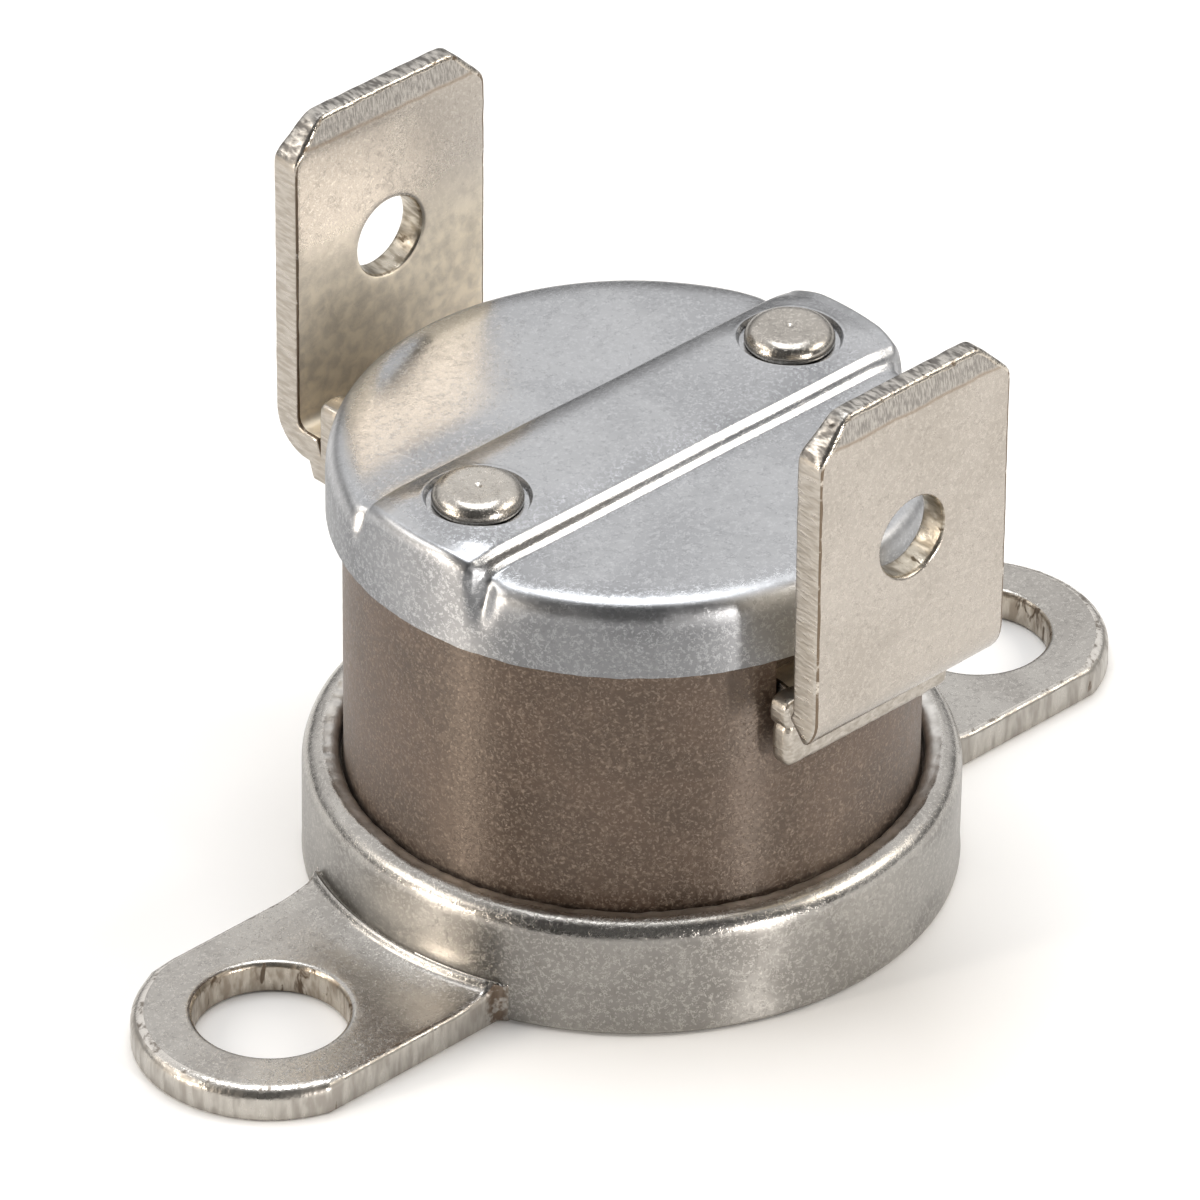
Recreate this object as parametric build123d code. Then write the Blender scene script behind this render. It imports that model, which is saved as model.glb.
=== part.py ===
from build123d import *
import math
import os

# A half-inch disc thermostat. Millimetres, +Z up, origin at the centre of the sensing face.
# The two ears lie along X. The two push-on tabs stand at -Y (front) and +Y (rear).

# Aluminium base cup with its ears
sheet_t = 0.85          # ears and cup floor
cup_wall = 0.6          # drawn side wall
cup_gap = 0.05          # play round the body's flange
lip_t = 0.65            # rolled rim above the flange
lip_w = 0.35            # level part of the rim's top
lip_gap = 0.1           # between rim and body
roll_h = 1.0            # height over which the wall rounds in to the rim
roll_slope = 0.3        # what the rim's top would fall on its way out to the wall
foot_edge = 0.15        # outer edge round the sensing face
ear_pitch = 24.0        # hole to hole
ear_hole_r = 1.9
ear_half_w = 3.25
ear_end_r = 3.4
ear_edge = 0.2          # broken top edge of the ears
ear_root = 0.35         # slope where an ear meets the ring
hole_edge = 0.12        # broken edge of the ear holes

# Bimetal disc and its chamber
disc_r = 6.35
disc_t = 0.25
disc_dish = 0.25        # how far the cold disc's middle hangs below its edge
disc_flat_r = 3.6       # level middle of the dish
disc_gap = 0.2          # round the disc's edge
disc_play = 0.02        # under the disc
disc_seat_w = 0.45      # ledge that carries the disc's edge
well_depth = 0.3        # hollow in the cup's floor under the dish
chamber_h = 0.65

# Guide plate and transfer pin
guide_t = 0.55
pin_r = 1.0
pin_fit = 0.05          # running clearance of the pin in its bores
pin_play = 0.04         # free play above and below the pin
pin_nose = 0.25         # sloped edge of the pin's ends

# Moulded body
body_r = 7.1
body_top_z = 11.3
flange_step = 0.4       # how far the foot flange stands out
flange_h = 0.5
switch_floor_z = 7.0    # floor of the switch chamber
switch_half_w = 3.1
switch_end_wall = 1.8   # moulding between each end of the switch chamber and the body's side
switch_corner_r = 1.0
slot_gap = 0.1          # beside the tab in its slot
ledge_lead = 0.3        # the rear ledge reaches this far past the tab's end

# Push-on tabs
tab_w = 6.3
tab_t = 0.8
tab_stand = 1.6         # from the body's side to the blade
tab_top_z = 18.0
tab_corner = 0.95
tab_hole_r = 1.05
tab_hole_drop = 4.3     # from the blade's top to its hole
tab_bend_r = 0.3        # inside of the bend
tab_bevel_h = 0.8       # coined lead-in on both faces
tab_bevel_d = 0.15
shelf_z = 8.7           # underside of the foot, next to the blade
shelf_reach = 1.2       # from the body's side to where the foot steps down
step_h = 0.45
step_run = 0.15
step_lean = 0.3         # the step's top lies this much further in than its underside
foot_narrow = 1.8       # the foot's narrow side, from the middle
strip_half_w = 1.75     # the strip in its slot
stop_t = 0.6            # stop lug turned down against the body
stop_h = 1.05
stop_gap = 0.05
ear_tab_w = 0.8         # side ear turned up beside the cap
ear_tab_d = 0.75
ear_tab_gap = 0.1
ear_tab_top_z = 10.6
front_drop = 0.7        # step down to the fixed contact

# Contacts and contact arm
arm_t = 0.2
arm_root_half_w = 1.7
arm_tip_r = 1.25
arm_root_l = 1.7        # the length that lies on the rear tab
arm_end_gap = 0.2       # between the arm's end and the moulding
contact_inset = 2.0     # from the switch chamber's end to the contacts
contact_r = 1.1
contact_t = 0.35
contact_edge = 0.12     # sloped edge round the moving contact's face
contact_gap = 0.01
contact_shank_r = 0.5
contact_back_r = 0.8
contact_back_t = 0.2
clamp_t = 0.3
clamp_inset = 0.1
rivet_gap = 0.03        # small rivets in their holes
arm_rivet_x = 0.95
arm_rivet_r = 0.4
arm_rivet_head_r = 0.7
arm_rivet_head_t = 0.3
arm_rivet_edge = 0.12
pocket_gap = 0.15       # round each rivet's closed end

# Cover: insulator, metal cap and its two rivets
insulator_t = 0.45
insulator_inset = 0.4
leg_gap = 0.2           # from the switch chamber's end to the leg that holds a tab down
leg_t = 0.9
cap_t = 0.35
cap_gap = 0.05
cap_skirt_z = 10.0
cap_round = 0.7
rib_half_w = 1.9        # level top of the rib
rib_slope = 0.28        # run of each sloped side
rib_h = 0.55
rib_round = 0.25
cover_rivet_inset = 1.9  # from the body's side to a rivet's axis
cover_rivet_r = 0.75
cover_rivet_gap = 0.1
rivet_head_r = 1.12
rivet_head_h = 0.45
rivet_rim_h = 0.14
rivet_lean = 0.15       # how far the domed side leans in below the crown
rivet_crown_r = 0.6
rivet_dimple_r = 0.12
rivet_dimple_h = 0.05
recess_r = 1.3
recess_h = 0.15
washer_r = 1.4
washer_t = 0.3
tail_r = 1.15
tail_h = 0.5
tail_room = 0.2         # left under the closed end

# Length, along the corner's two sides, that each straight run of a soft corner stands for
round_run = 0.45

# Places that follow from the sizes above
flange_r = body_r + flange_step
cup_bore_r = flange_r + cup_gap
base_r = cup_bore_r + cup_wall
guide_z = sheet_t + chamber_h
body_z = guide_z + guide_t
flange_top_z = body_z + flange_h
rim_z = flange_top_z + lip_t
ear_x = ear_pitch / 2
well_r = disc_r - disc_seat_w
dish_slope = disc_dish / (disc_r - disc_flat_r)
dish_z = sheet_t + disc_play - dish_slope * (well_r - disc_flat_r)
foot_z = shelf_z - step_h
strip_top_z = foot_z + tab_t
slot_half_w = strip_half_w + slot_gap
tab_inner_y = body_r + tab_stand
tab_y = tab_inner_y + tab_t
shelf_end_y = body_r + shelf_reach
stop_y = body_r + stop_gap
ear_tab_y = stop_y + ear_tab_d
switch_half_l = body_r - switch_end_wall
leg_y = switch_half_l + leg_gap
arm_end_y = switch_half_l - arm_end_gap
arm_root_y = arm_end_y - arm_root_l
contact_y = switch_half_l - contact_inset
cover_rivet_x = body_r - cover_rivet_inset
fixed_z = foot_z - front_drop
arm_z = strip_top_z
cap_r = body_r + cap_gap + cap_t
cap_flat_z = body_top_z + insulator_t + cap_t
rib_z = cap_flat_z + rib_h
recess_z = rib_z - recess_h
pocket_z = body_z + tail_room + tail_h + washer_t
pin_z = dish_z + disc_t + pin_play
pin_top_z = arm_z - pin_play
arm_rivet_y = (arm_root_y + arm_end_y) / 2


def block(x0, x1, y0, y1, z0, z1):
    """A box given by its limits."""
    middle = Pos((x0 + x1) / 2, (y0 + y1) / 2, (z0 + z1) / 2)
    return middle * Box(x1 - x0, y1 - y0, z1 - z0)


def rod(radius, z0, z1, x=0.0, y=0.0):
    """An upright cylinder given by its axis and its two ends."""
    return Pos(x, y, (z0 + z1) / 2) * Cylinder(radius, z1 - z0)


def in_xz(*points):
    """Straight edges in the XZ plane through (x, z) points."""
    return Polyline(*[(x, 0, z) for x, z in points]).edges()


def turned(*points):
    """The solid that a closed outline of (x, z) points makes round the Z axis."""
    return revolve(make_face(in_xz(*points, points[0])), Axis.Z)


def in_yz(*points):
    """Straight edges in the YZ plane through (y, z) points."""
    return Polyline(*[(0, y, z) for y, z in points]).edges()


def soft_corner(start, corner, end):
    """Points of the curve that leaves start for the corner and turns in to end."""
    sides = math.dist(start, corner) + math.dist(corner, end)
    runs = max(1, round(sides / round_run))
    points = []
    for step in range(runs + 1):
        t = step / runs
        shares = ((1 - t) ** 2, 2 * t * (1 - t), t ** 2)
        points.append(tuple(
            sum(share * place[i] for share, place in zip(shares, (start, corner, end))) for i in (0, 1)
        ))
    return points


def edges_at(shape, z, radius=None):
    """A shape's edges that lie level at z, or only the round ones of that radius."""
    level = shape.edges().filter_by_position(Axis.Z, z - 0.001, z + 0.001)
    if radius is None:
        return level
    return level.filter_by(lambda e: e.geom_type == GeomType.CIRCLE and abs(e.radius - radius) < 0.001)


def broken_edge(half):
    """Half the section of a plate with a broken top edge, from its outer edge to its middle."""
    return [(half, 0), (half, sheet_t - ear_edge), (half - ear_edge, sheet_t)]


def ears():
    """The ears' plate: a strip with broken top edges, and ends turned a little wider than it."""
    right = broken_edge(ear_half_w)
    left = [(-y, z) for y, z in reversed(right)]
    strip = extrude(make_face(in_yz(*right, *left, right[0])), ear_x + ear_end_r, both=True)
    end = turned((0, 0), *broken_edge(ear_end_r), (0, sheet_t))
    plan = block(-ear_x, ear_x, -ear_end_r, ear_end_r, 0, sheet_t)
    plan += [Pos(side * ear_x, 0) * end for side in (-1, 1)]
    return strip & plan


def cup_ring():
    """The cup: a floor with the disc's well, the side wall, and the rim rolled in over the flange."""
    roll_z = rim_z - roll_h
    lip_r = body_r + lip_gap
    well_z = sheet_t - well_depth
    roll = soft_corner((base_r, roll_z), (base_r, rim_z - roll_slope), (lip_r + lip_w, rim_z))
    return turned(
        (0, well_z), (0, 0), (base_r - foot_edge, 0), (base_r, foot_edge), *roll, (lip_r, rim_z),
        (lip_r, flange_top_z), (cup_bore_r, flange_top_z), (cup_bore_r, sheet_t), (well_r, sheet_t),
        (well_r, well_z),
    )


def ear_roots():
    """The slope round the foot of the wall, only where the ears leave it."""
    top_z = sheet_t + ear_root
    slope = turned((cup_bore_r, sheet_t), (base_r + ear_root, sheet_t), (base_r, top_z), (cup_bore_r, top_z))
    half = ear_half_w - ear_edge
    return slope & block(-ear_x, ear_x, -half, half, sheet_t, top_z)


def base_cup():
    """Ring and ears as one piece, with sloped roots and two screw holes."""
    cup = ears() - rod(cup_bore_r, 0, sheet_t) + cup_ring() + ear_roots()
    cup -= [rod(ear_hole_r, -1, sheet_t + 1, side * ear_x) for side in (-1, 1)]
    return chamfer(edges_at(cup, sheet_t, ear_hole_r), hole_edge)


def bimetal_disc():
    """The snap disc, cold: dished downwards, its edge on the ledge round the cup's well."""
    under = [(0, dish_z), (disc_flat_r, dish_z), (disc_r, dish_z + disc_dish)]
    over = [(x, z + disc_t) for x, z in reversed(under)]
    return turned(*under, *over)


def guide_plate():
    """The plate over the disc: a rim that forms the disc's chamber, and the pin's lower bore."""
    chamber_r = disc_r + disc_gap
    bore_r = pin_r + pin_fit
    return turned(
        (bore_r, guide_z), (chamber_r, guide_z), (chamber_r, sheet_t), (flange_r, sheet_t),
        (flange_r, body_z), (bore_r, body_z),
    )


def transfer_pin():
    """The ceramic pin, with a broad sloped edge at both ends."""
    pin = rod(pin_r, pin_z, pin_top_z)
    return chamfer(edges_at(pin, pin_z) + edges_at(pin, pin_top_z), pin_nose)


def housing():
    """The moulded body: flange, switch chamber with two ledges, tab slots, pin and rivet bores."""
    shell = rod(flange_r, body_z, flange_top_z) + rod(body_r, body_z, body_top_z)
    plan = RectangleRounded(2 * switch_half_w, 2 * switch_half_l, switch_corner_r)
    shell -= Pos(0, 0, switch_floor_z) * extrude(plan, body_top_z)
    wide = switch_half_w + slot_gap
    deep = switch_half_l + slot_gap
    shell += block(-wide, wide, arm_root_y - ledge_lead, deep, switch_floor_z, foot_z)
    shell += block(-wide, wide, -deep, -contact_y + contact_r, switch_floor_z, fixed_z)
    for out in (-1, 1):
        middle = out * (switch_half_l + flange_r) / 2
        half = (flange_r - switch_half_l) / 2 + slot_gap
        shell -= block(-slot_half_w, slot_half_w, middle - half, middle + half, foot_z, body_top_z + 1)
    shell -= rod(pin_r + pin_fit, body_z, switch_floor_z)
    for x in (-cover_rivet_x, cover_rivet_x):
        shell -= rod(cover_rivet_r + cover_rivet_gap, body_z, body_top_z, x)
        shell -= rod(washer_r + cover_rivet_gap, body_z, pocket_z, x)
    for x in (-arm_rivet_x, arm_rivet_x):
        pocket_floor = foot_z - arm_rivet_head_t - pocket_gap
        shell -= rod(arm_rivet_head_r + pocket_gap, pocket_floor, foot_z, x, arm_rivet_y)
    return shell


def bend_arc(radius):
    """The round of the tab's bend at this radius, in the YZ plane."""
    out_r = tab_bend_r + tab_t
    turn_y = tab_y - out_r
    turn_z = shelf_z + out_r
    part = radius * math.sqrt(0.5)
    return ThreePointArc(
        (0, turn_y, turn_z - radius), (0, turn_y + part, turn_z - part), (0, turn_y + radius, turn_z)
    )


def tab_section(inner_end, drop):
    """A tab seen from its edge: blade, bend, stepped foot, and the strip that goes inside."""
    out_r = tab_bend_r + tab_t
    low = []
    if drop > 0:
        drop_y = switch_half_l - slot_gap
        low += [(drop_y - step_run, foot_z - drop), (drop_y, foot_z)]
    low += [(shelf_end_y - step_run, foot_z), (shelf_end_y, shelf_z)]
    high = [(y - step_lean, z + tab_t) for y, z in reversed(low)]
    end_z = foot_z - drop
    under = in_yz((inner_end, end_z), *low, (tab_y - out_r, shelf_z))
    blade = in_yz(
        (tab_y, shelf_z + out_r), (tab_y, tab_top_z), (tab_inner_y, tab_top_z),
        (tab_inner_y, shelf_z + out_r),
    )
    over = in_yz((tab_y - out_r, shelf_z + tab_t), *high, (inner_end, end_z + tab_t), (inner_end, end_z))
    return make_face([*under, bend_arc(out_r), *blade, bend_arc(tab_bend_r), *over])


def tab_outline():
    """A tab seen from outside the thermostat: straight sides and two cut corners."""
    half = tab_w / 2
    top = tab_top_z
    corner = half - tab_corner
    points = [(-half, 0), (half, 0), (half, top - tab_corner), (corner, top)]
    points += [(-corner, top), (-half, top - tab_corner), (-half, 0)]
    return make_face(in_xz(*points))


def blade_bevel(face_y, inward):
    """What the coined lead-in takes off one face of the blade."""
    top = tab_top_z
    low = top - tab_bevel_h
    section = in_yz((face_y, low), (face_y, top), (face_y + inward * tab_bevel_d, top), (face_y, low))
    return extrude(make_face(section), tab_w, both=True)


def tab(inner_end, drop):
    """One push-on tab as it stands at the rear: one bent and pierced strip."""
    half = tab_w / 2
    high = tab_top_z
    strip = extrude(tab_section(inner_end, drop), half, both=True)
    strip -= block(foot_narrow, tab_w, 0, tab_inner_y, 0, high)
    strip -= block(strip_half_w, tab_w, 0, stop_y, 0, high)
    strip -= block(-tab_w, -strip_half_w, 0, stop_y, 0, high)
    strip += block(-half, foot_narrow, stop_y, stop_y + stop_t, foot_z - stop_h, foot_z + step_h)
    ear_x1 = ear_tab_w - half
    ear_y0 = math.sqrt((cap_r + ear_tab_gap) ** 2 - ear_x1 ** 2)
    strip += block(-half, ear_x1, ear_y0, ear_tab_y, foot_z + step_h, ear_tab_top_z)
    strip &= extrude(tab_outline(), -2 * tab_y)
    hole = Pos(0, tab_y, tab_top_z - tab_hole_drop) * Rot(90, 0, 0) * Cylinder(tab_hole_r, 4 * tab_t)
    return strip - hole - blade_bevel(tab_y, -1) - blade_bevel(tab_inner_y, 1)


def tab_rear():
    """The rear tab carries the contact arm, so its strip has two rivet holes."""
    strip = tab(arm_root_y, 0)
    bore_r = arm_rivet_r + rivet_gap
    return strip - [rod(bore_r, foot_z, arm_z, x, arm_rivet_y) for x in (-arm_rivet_x, arm_rivet_x)]


def tab_front():
    """The front tab is the same stamping turned round, stepped down to hold the fixed contact."""
    return Rot(0, 0, 180) * tab(contact_y - contact_r, front_drop)


def fixed_contact():
    """The silver disc on the front tab's inner end."""
    top_z = fixed_z + tab_t
    return rod(contact_r, top_z, arm_z - contact_t - contact_gap, 0, -contact_y)


def moving_contact():
    """The silver rivet through the arm's tip, with its face down on the fixed contact."""
    head = rod(contact_r, arm_z - contact_t, arm_z)
    head = chamfer(edges_at(head, arm_z - contact_t), contact_edge)
    shank = rod(contact_shank_r, arm_z, arm_z + arm_t)
    back = rod(contact_back_r, arm_z + arm_t, arm_z + arm_t + contact_back_t)
    return Pos(0, -contact_y) * (head + shank + back)


def contact_arm():
    """The spring strip: a wide root on the rear tab, narrowing to a round tip at the contact."""
    root = Pos(0, arm_rivet_y) * Rectangle(2 * arm_root_half_w, arm_end_y - arm_root_y)
    taper = make_face(Polyline(
        (-arm_root_half_w, arm_root_y), (arm_root_half_w, arm_root_y),
        (arm_tip_r, -contact_y), (-arm_tip_r, -contact_y), (-arm_root_half_w, arm_root_y),
    ))
    plan = root + taper + Pos(0, -contact_y) * Circle(arm_tip_r)
    plan -= Pos(0, -contact_y) * Circle(contact_shank_r + rivet_gap)
    plan -= [Pos(x, arm_rivet_y) * Circle(arm_rivet_r + rivet_gap) for x in (-arm_rivet_x, arm_rivet_x)]
    return Pos(0, 0, arm_z) * extrude(plan, arm_t)


def arm_clamp():
    """The small plate on the arm's root: the arm bends from its front edge."""
    width = 2 * (arm_root_half_w - clamp_inset)
    plan = Pos(0, arm_rivet_y) * Rectangle(width, arm_end_y - arm_root_y - 2 * clamp_inset)
    plan -= [Pos(x, arm_rivet_y) * Circle(arm_rivet_r + rivet_gap) for x in (-arm_rivet_x, arm_rivet_x)]
    return Pos(0, 0, arm_z + arm_t) * extrude(plan, clamp_t)


def arm_rivet(x):
    """One of the two rivets through clamp, arm and tab."""
    top_z = arm_z + arm_t + clamp_t
    head = rod(arm_rivet_head_r, top_z, top_z + arm_rivet_head_t)
    head = chamfer(edges_at(head, top_z + arm_rivet_head_t), arm_rivet_edge)
    shank = rod(arm_rivet_r, foot_z, top_z)
    tail = rod(arm_rivet_head_r, foot_z - arm_rivet_head_t, foot_z)
    return Pos(x, arm_rivet_y) * (head + shank + tail)


def cover_insulator():
    """The plate under the metal cap, with a leg down on each tab's strip."""
    plate_z = body_top_z + insulator_t
    plate = rod(body_r - insulator_inset, body_top_z, plate_z)
    for out in (-1, 1):
        middle = out * (leg_y + leg_t / 2)
        half = leg_t / 2
        plate += block(-strip_half_w, strip_half_w, middle - half, middle + half, strip_top_z, body_top_z)
    bore_r = cover_rivet_r + cover_rivet_gap
    return plate - [rod(bore_r, body_top_z, plate_z, x) for x in (-cover_rivet_x, cover_rivet_x)]


def drawn_cup(radius, top_z, corner_r, low_z):
    """A solid round cup form with a soft top edge."""
    edge = soft_corner((radius, top_z - corner_r), (radius, top_z), (radius - corner_r, top_z))
    return turned((0, low_z), (radius, low_z), *edge, (0, top_z))


def cap_skin(inset):
    """The cap's outer form, or the same form set in all round by its thickness."""
    skin_r = cap_r - inset
    corner_r = cap_round - inset
    flat_z = cap_flat_z - inset
    crest_z = rib_z - inset
    low_z = cap_skirt_z - inset
    foot = rib_half_w + rib_slope - inset
    crest = rib_half_w - inset
    section = in_yz(
        (-foot, low_z), (-foot, flat_z), (-crest, crest_z), (crest, crest_z), (foot, flat_z),
        (foot, low_z), (-foot, low_z),
    )
    rib = extrude(make_face(section), cap_r, both=True)
    rib &= drawn_cup(skin_r, crest_z, corner_r, low_z)
    return drawn_cup(skin_r, flat_z, corner_r, low_z) + rib


def top_cap():
    """The drawn metal cap with a rib across it and a shallow recess round each rivet."""
    outer = cap_skin(0)
    outer = fillet(edges_at(outer, rib_z).filter_by(Axis.X), rib_round)
    cap = outer - cap_skin(cap_t)
    for x in (-cover_rivet_x, cover_rivet_x):
        cap -= rod(recess_r, recess_z, rib_z + 1, x)
        cap -= rod(cover_rivet_r + cover_rivet_gap, cap_flat_z, rib_z, x)
    return cap


def cover_rivet(x):
    """One cover rivet: crowned head with a centre mark, long shank, and its closed end."""
    crown_z = recess_z + rivet_head_h
    rim_z = recess_z + rivet_rim_h
    end_z = pocket_z - washer_t
    dome = soft_corner((rivet_head_r, rim_z), (rivet_head_r - rivet_lean, crown_z), (rivet_crown_r, crown_z))
    return Pos(x, 0) * turned(
        (rivet_head_r, recess_z), *dome, (rivet_dimple_r, crown_z), (0, crown_z - rivet_dimple_h),
        (0, end_z - tail_h), (tail_r, end_z - tail_h), (tail_r, end_z), (cover_rivet_r, end_z),
        (cover_rivet_r, recess_z),
    )


def rivet_washer(x):
    """The washer between a cover rivet's closed end and the moulding."""
    ring = rod(washer_r, pocket_z - washer_t, pocket_z) - rod(cover_rivet_r, pocket_z - washer_t, pocket_z)
    return Pos(x, 0) * ring


def pieces():
    """Every piece of the thermostat by name."""
    return {
        "base_cup": base_cup(),
        "bimetal_disc": bimetal_disc(),
        "guide_plate": guide_plate(),
        "transfer_pin": transfer_pin(),
        "housing": housing(),
        "tab_front": tab_front(),
        "tab_rear": tab_rear(),
        "fixed_contact": fixed_contact(),
        "moving_contact": moving_contact(),
        "contact_arm": contact_arm(),
        "arm_clamp": arm_clamp(),
        "arm_rivet_left": arm_rivet(-arm_rivet_x),
        "arm_rivet_right": arm_rivet(arm_rivet_x),
        "cover_insulator": cover_insulator(),
        "top_cap": top_cap(),
        "cover_rivet_left": cover_rivet(-cover_rivet_x),
        "cover_rivet_right": cover_rivet(cover_rivet_x),
        "rivet_washer_left": rivet_washer(-cover_rivet_x),
        "rivet_washer_right": rivet_washer(cover_rivet_x),
    }


os.makedirs("parts", exist_ok=True)
for name, solid in pieces().items():
    export_step(solid, f"parts/{name}.step")
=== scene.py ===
# %% [markdown]
# # Dressing a snap-disc thermostat
# The solid model of this small bimetal thermostat is already exact, but it is plain: every edge is
# sharp and every face is one colour. In this lesson each outer piece gets the soft edges, pressed
# forms and worn finish that the real metal and moulding have. The inner works keep their solids and
# only get a finish.

import math

import bmesh
import bpy
import numpy as np
from mathutils import Matrix, Vector, noise
from mathutils.geometry import delaunay_2d_cdt


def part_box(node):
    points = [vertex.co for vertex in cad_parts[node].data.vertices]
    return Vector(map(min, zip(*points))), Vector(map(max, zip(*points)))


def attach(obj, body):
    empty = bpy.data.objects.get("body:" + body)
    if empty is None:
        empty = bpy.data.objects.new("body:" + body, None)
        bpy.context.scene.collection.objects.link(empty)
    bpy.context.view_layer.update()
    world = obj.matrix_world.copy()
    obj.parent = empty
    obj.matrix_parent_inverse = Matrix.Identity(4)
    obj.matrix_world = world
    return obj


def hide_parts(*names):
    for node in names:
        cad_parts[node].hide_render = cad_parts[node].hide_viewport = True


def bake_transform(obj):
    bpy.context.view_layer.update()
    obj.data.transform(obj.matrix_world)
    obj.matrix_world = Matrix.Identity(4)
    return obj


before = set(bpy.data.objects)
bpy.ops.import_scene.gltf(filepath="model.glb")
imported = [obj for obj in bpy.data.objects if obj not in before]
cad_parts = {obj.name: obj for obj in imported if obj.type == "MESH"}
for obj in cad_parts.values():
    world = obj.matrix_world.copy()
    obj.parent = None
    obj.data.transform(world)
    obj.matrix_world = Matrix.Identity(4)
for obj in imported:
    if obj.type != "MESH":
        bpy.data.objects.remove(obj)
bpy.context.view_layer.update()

# %% [markdown]
# ## Where the photograph was taken from
# A long lens seen from a little above keeps the upright sides almost parallel, as in a catalogue
# picture. The camera's place could be found by hand. Here its three turns and its distance are
# plain values, so the frame stays easy to read.

# %% Place the camera
MM = 0.001
SIDE_TURN = math.radians(-43.748)
LOOK_DOWN = math.radians(33.910)
ROLL = math.radians(0.472)
FRAME_PIXELS, FOCAL_PIXELS, SENSOR_WIDTH = 1200, 11448.7, 36
SHIFT_RIGHT, SHIFT_DOWN, DISTANCE = 0.7678, 6.0092, 283.39
scene = bpy.context.scene


def way_to(turn, height):
    """The way from the thermostat to a place at this turn round it and this angle above it."""
    return Vector((math.sin(turn) * math.cos(height), -math.cos(turn) * math.cos(height), math.sin(height)))


toward_camera = way_to(SIDE_TURN, LOOK_DOWN)
level = Vector((math.cos(SIDE_TURN), math.sin(SIDE_TURN), 0))
rise = toward_camera.cross(level)
right = math.cos(ROLL) * level + math.sin(ROLL) * rise
up = -math.sin(ROLL) * level + math.cos(ROLL) * rise

camera = bpy.data.objects.new("camera", bpy.data.cameras.new("camera"))
scene.collection.objects.link(camera)
scene.camera = camera
camera.data.sensor_width = SENSOR_WIDTH
camera.data.lens = FOCAL_PIXELS / FRAME_PIXELS * SENSOR_WIDTH
camera.data.clip_start = 0.01
place = (-SHIFT_RIGHT * right + SHIFT_DOWN * up + DISTANCE * toward_camera) * MM
camera.matrix_world = Matrix.Translation(place) @ Matrix((right, up, toward_camera)).transposed().to_4x4()
print("camera at", [round(v, 4) for v in place])

# %% [markdown]
# ## Studio light
# Bare metal shows its surroundings more than its own colour. A rounded edge looks round because it
# reflects something bright above, something dark where the camera stands, and the pale table below.
# So the room is drawn first: a soft grey dome that is dark on the camera's side, then three big
# panels and two narrow upright lamps, and a pale floor. The narrow lamps draw the upright sheens
# that show a wall is round.

# %% Draw the room
scene.view_settings.view_transform = "Standard"


def feed(tree, socket, value):
    """Gives an input its value: a plain one, or another node's output."""
    if isinstance(value, bpy.types.NodeSocket):
        tree.links.new(value, socket)
    else:
        socket.default_value = value


def add_node(tree, kind, inputs=None, **settings):
    """One node with its settings and inputs."""
    made = tree.nodes.new(kind)
    for key, value in settings.items():
        setattr(made, key, value)
    for key, value in (inputs or {}).items():
        feed(tree, made.inputs[key], value)
    return made


def smooth_range(tree, value, low, high, to_low=0.0, to_high=1.0):
    """A value that eases from to_low to to_high while the given one goes from low to high."""
    inputs = {"Value": value, "From Min": low, "From Max": high, "To Min": to_low, "To Max": to_high}
    return add_node(tree, "ShaderNodeMapRange", inputs, interpolation_type="SMOOTHSTEP").outputs[0]


def draw_room():
    """The dome: its grey by height, and its dark side towards the camera."""
    world = bpy.data.worlds.new("studio")
    world.use_nodes = True
    scene.world = world
    tree = world.node_tree
    tree.nodes.clear()
    way = add_node(tree, "ShaderNodeTexCoord").outputs["Generated"]
    height = add_node(tree, "ShaderNodeSeparateXYZ", {0: way}).outputs["Z"]
    # Dark grey at the table, white from halfway up, and a softer grey overhead.
    low_part = smooth_range(tree, height, 0.05, 0.52, 0.20, 1.16)
    high_part = smooth_range(tree, height, 0.64, 0.86, 0.0, -0.40)
    dome = add_node(tree, "ShaderNodeMath", {0: low_part, 1: high_part}, operation="ADD").outputs[0]
    # A tenth of that on the camera's own side.
    level_way = Vector((toward_camera.x, toward_camera.y, 0)).normalized()
    facing = add_node(tree, "ShaderNodeVectorMath", {0: way, 1: level_way}, operation="DOT_PRODUCT")
    shade = smooth_range(tree, facing.outputs["Value"], 0.02, 0.42, 1.0, 0.10)
    grey = add_node(tree, "ShaderNodeMath", {0: dome, 1: shade}, operation="MULTIPLY").outputs[0]
    light = add_node(tree, "ShaderNodeBackground", {"Color": (1.0, 0.99, 0.98, 1), "Strength": grey})
    out = add_node(tree, "ShaderNodeOutputWorld")
    tree.links.new(light.outputs[0], out.inputs[0])


draw_room()
print("room drawn, dark towards", [round(v, 2) for v in toward_camera])

# %% Hang the light panels
# Each row: name, turn and height in degrees, distance, width and height in metres, brightness, colour.
PANELS = (
    ("panel_above", 150, 80, 0.14, 0.078, 0.078, 4.6, (0.97, 0.985, 1.0)),
    ("panel_left", -122, 34, 0.22, 0.11, 0.08, 4.0, (1.0, 0.93, 0.84)),
    ("lamp_left", -106, 9, 0.24, 0.022, 0.05, 60.0, (1.0, 0.90, 0.78)),
    ("panel_right", 44, 37, 0.22, 0.10, 0.08, 5.5, (1.0, 0.92, 0.80)),
    ("lamp_right", -2, 9, 0.24, 0.02, 0.05, 70.0, (1.0, 0.96, 0.92)),
)
PART_MIDDLE = Vector((0, 0, 0.008))

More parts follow.
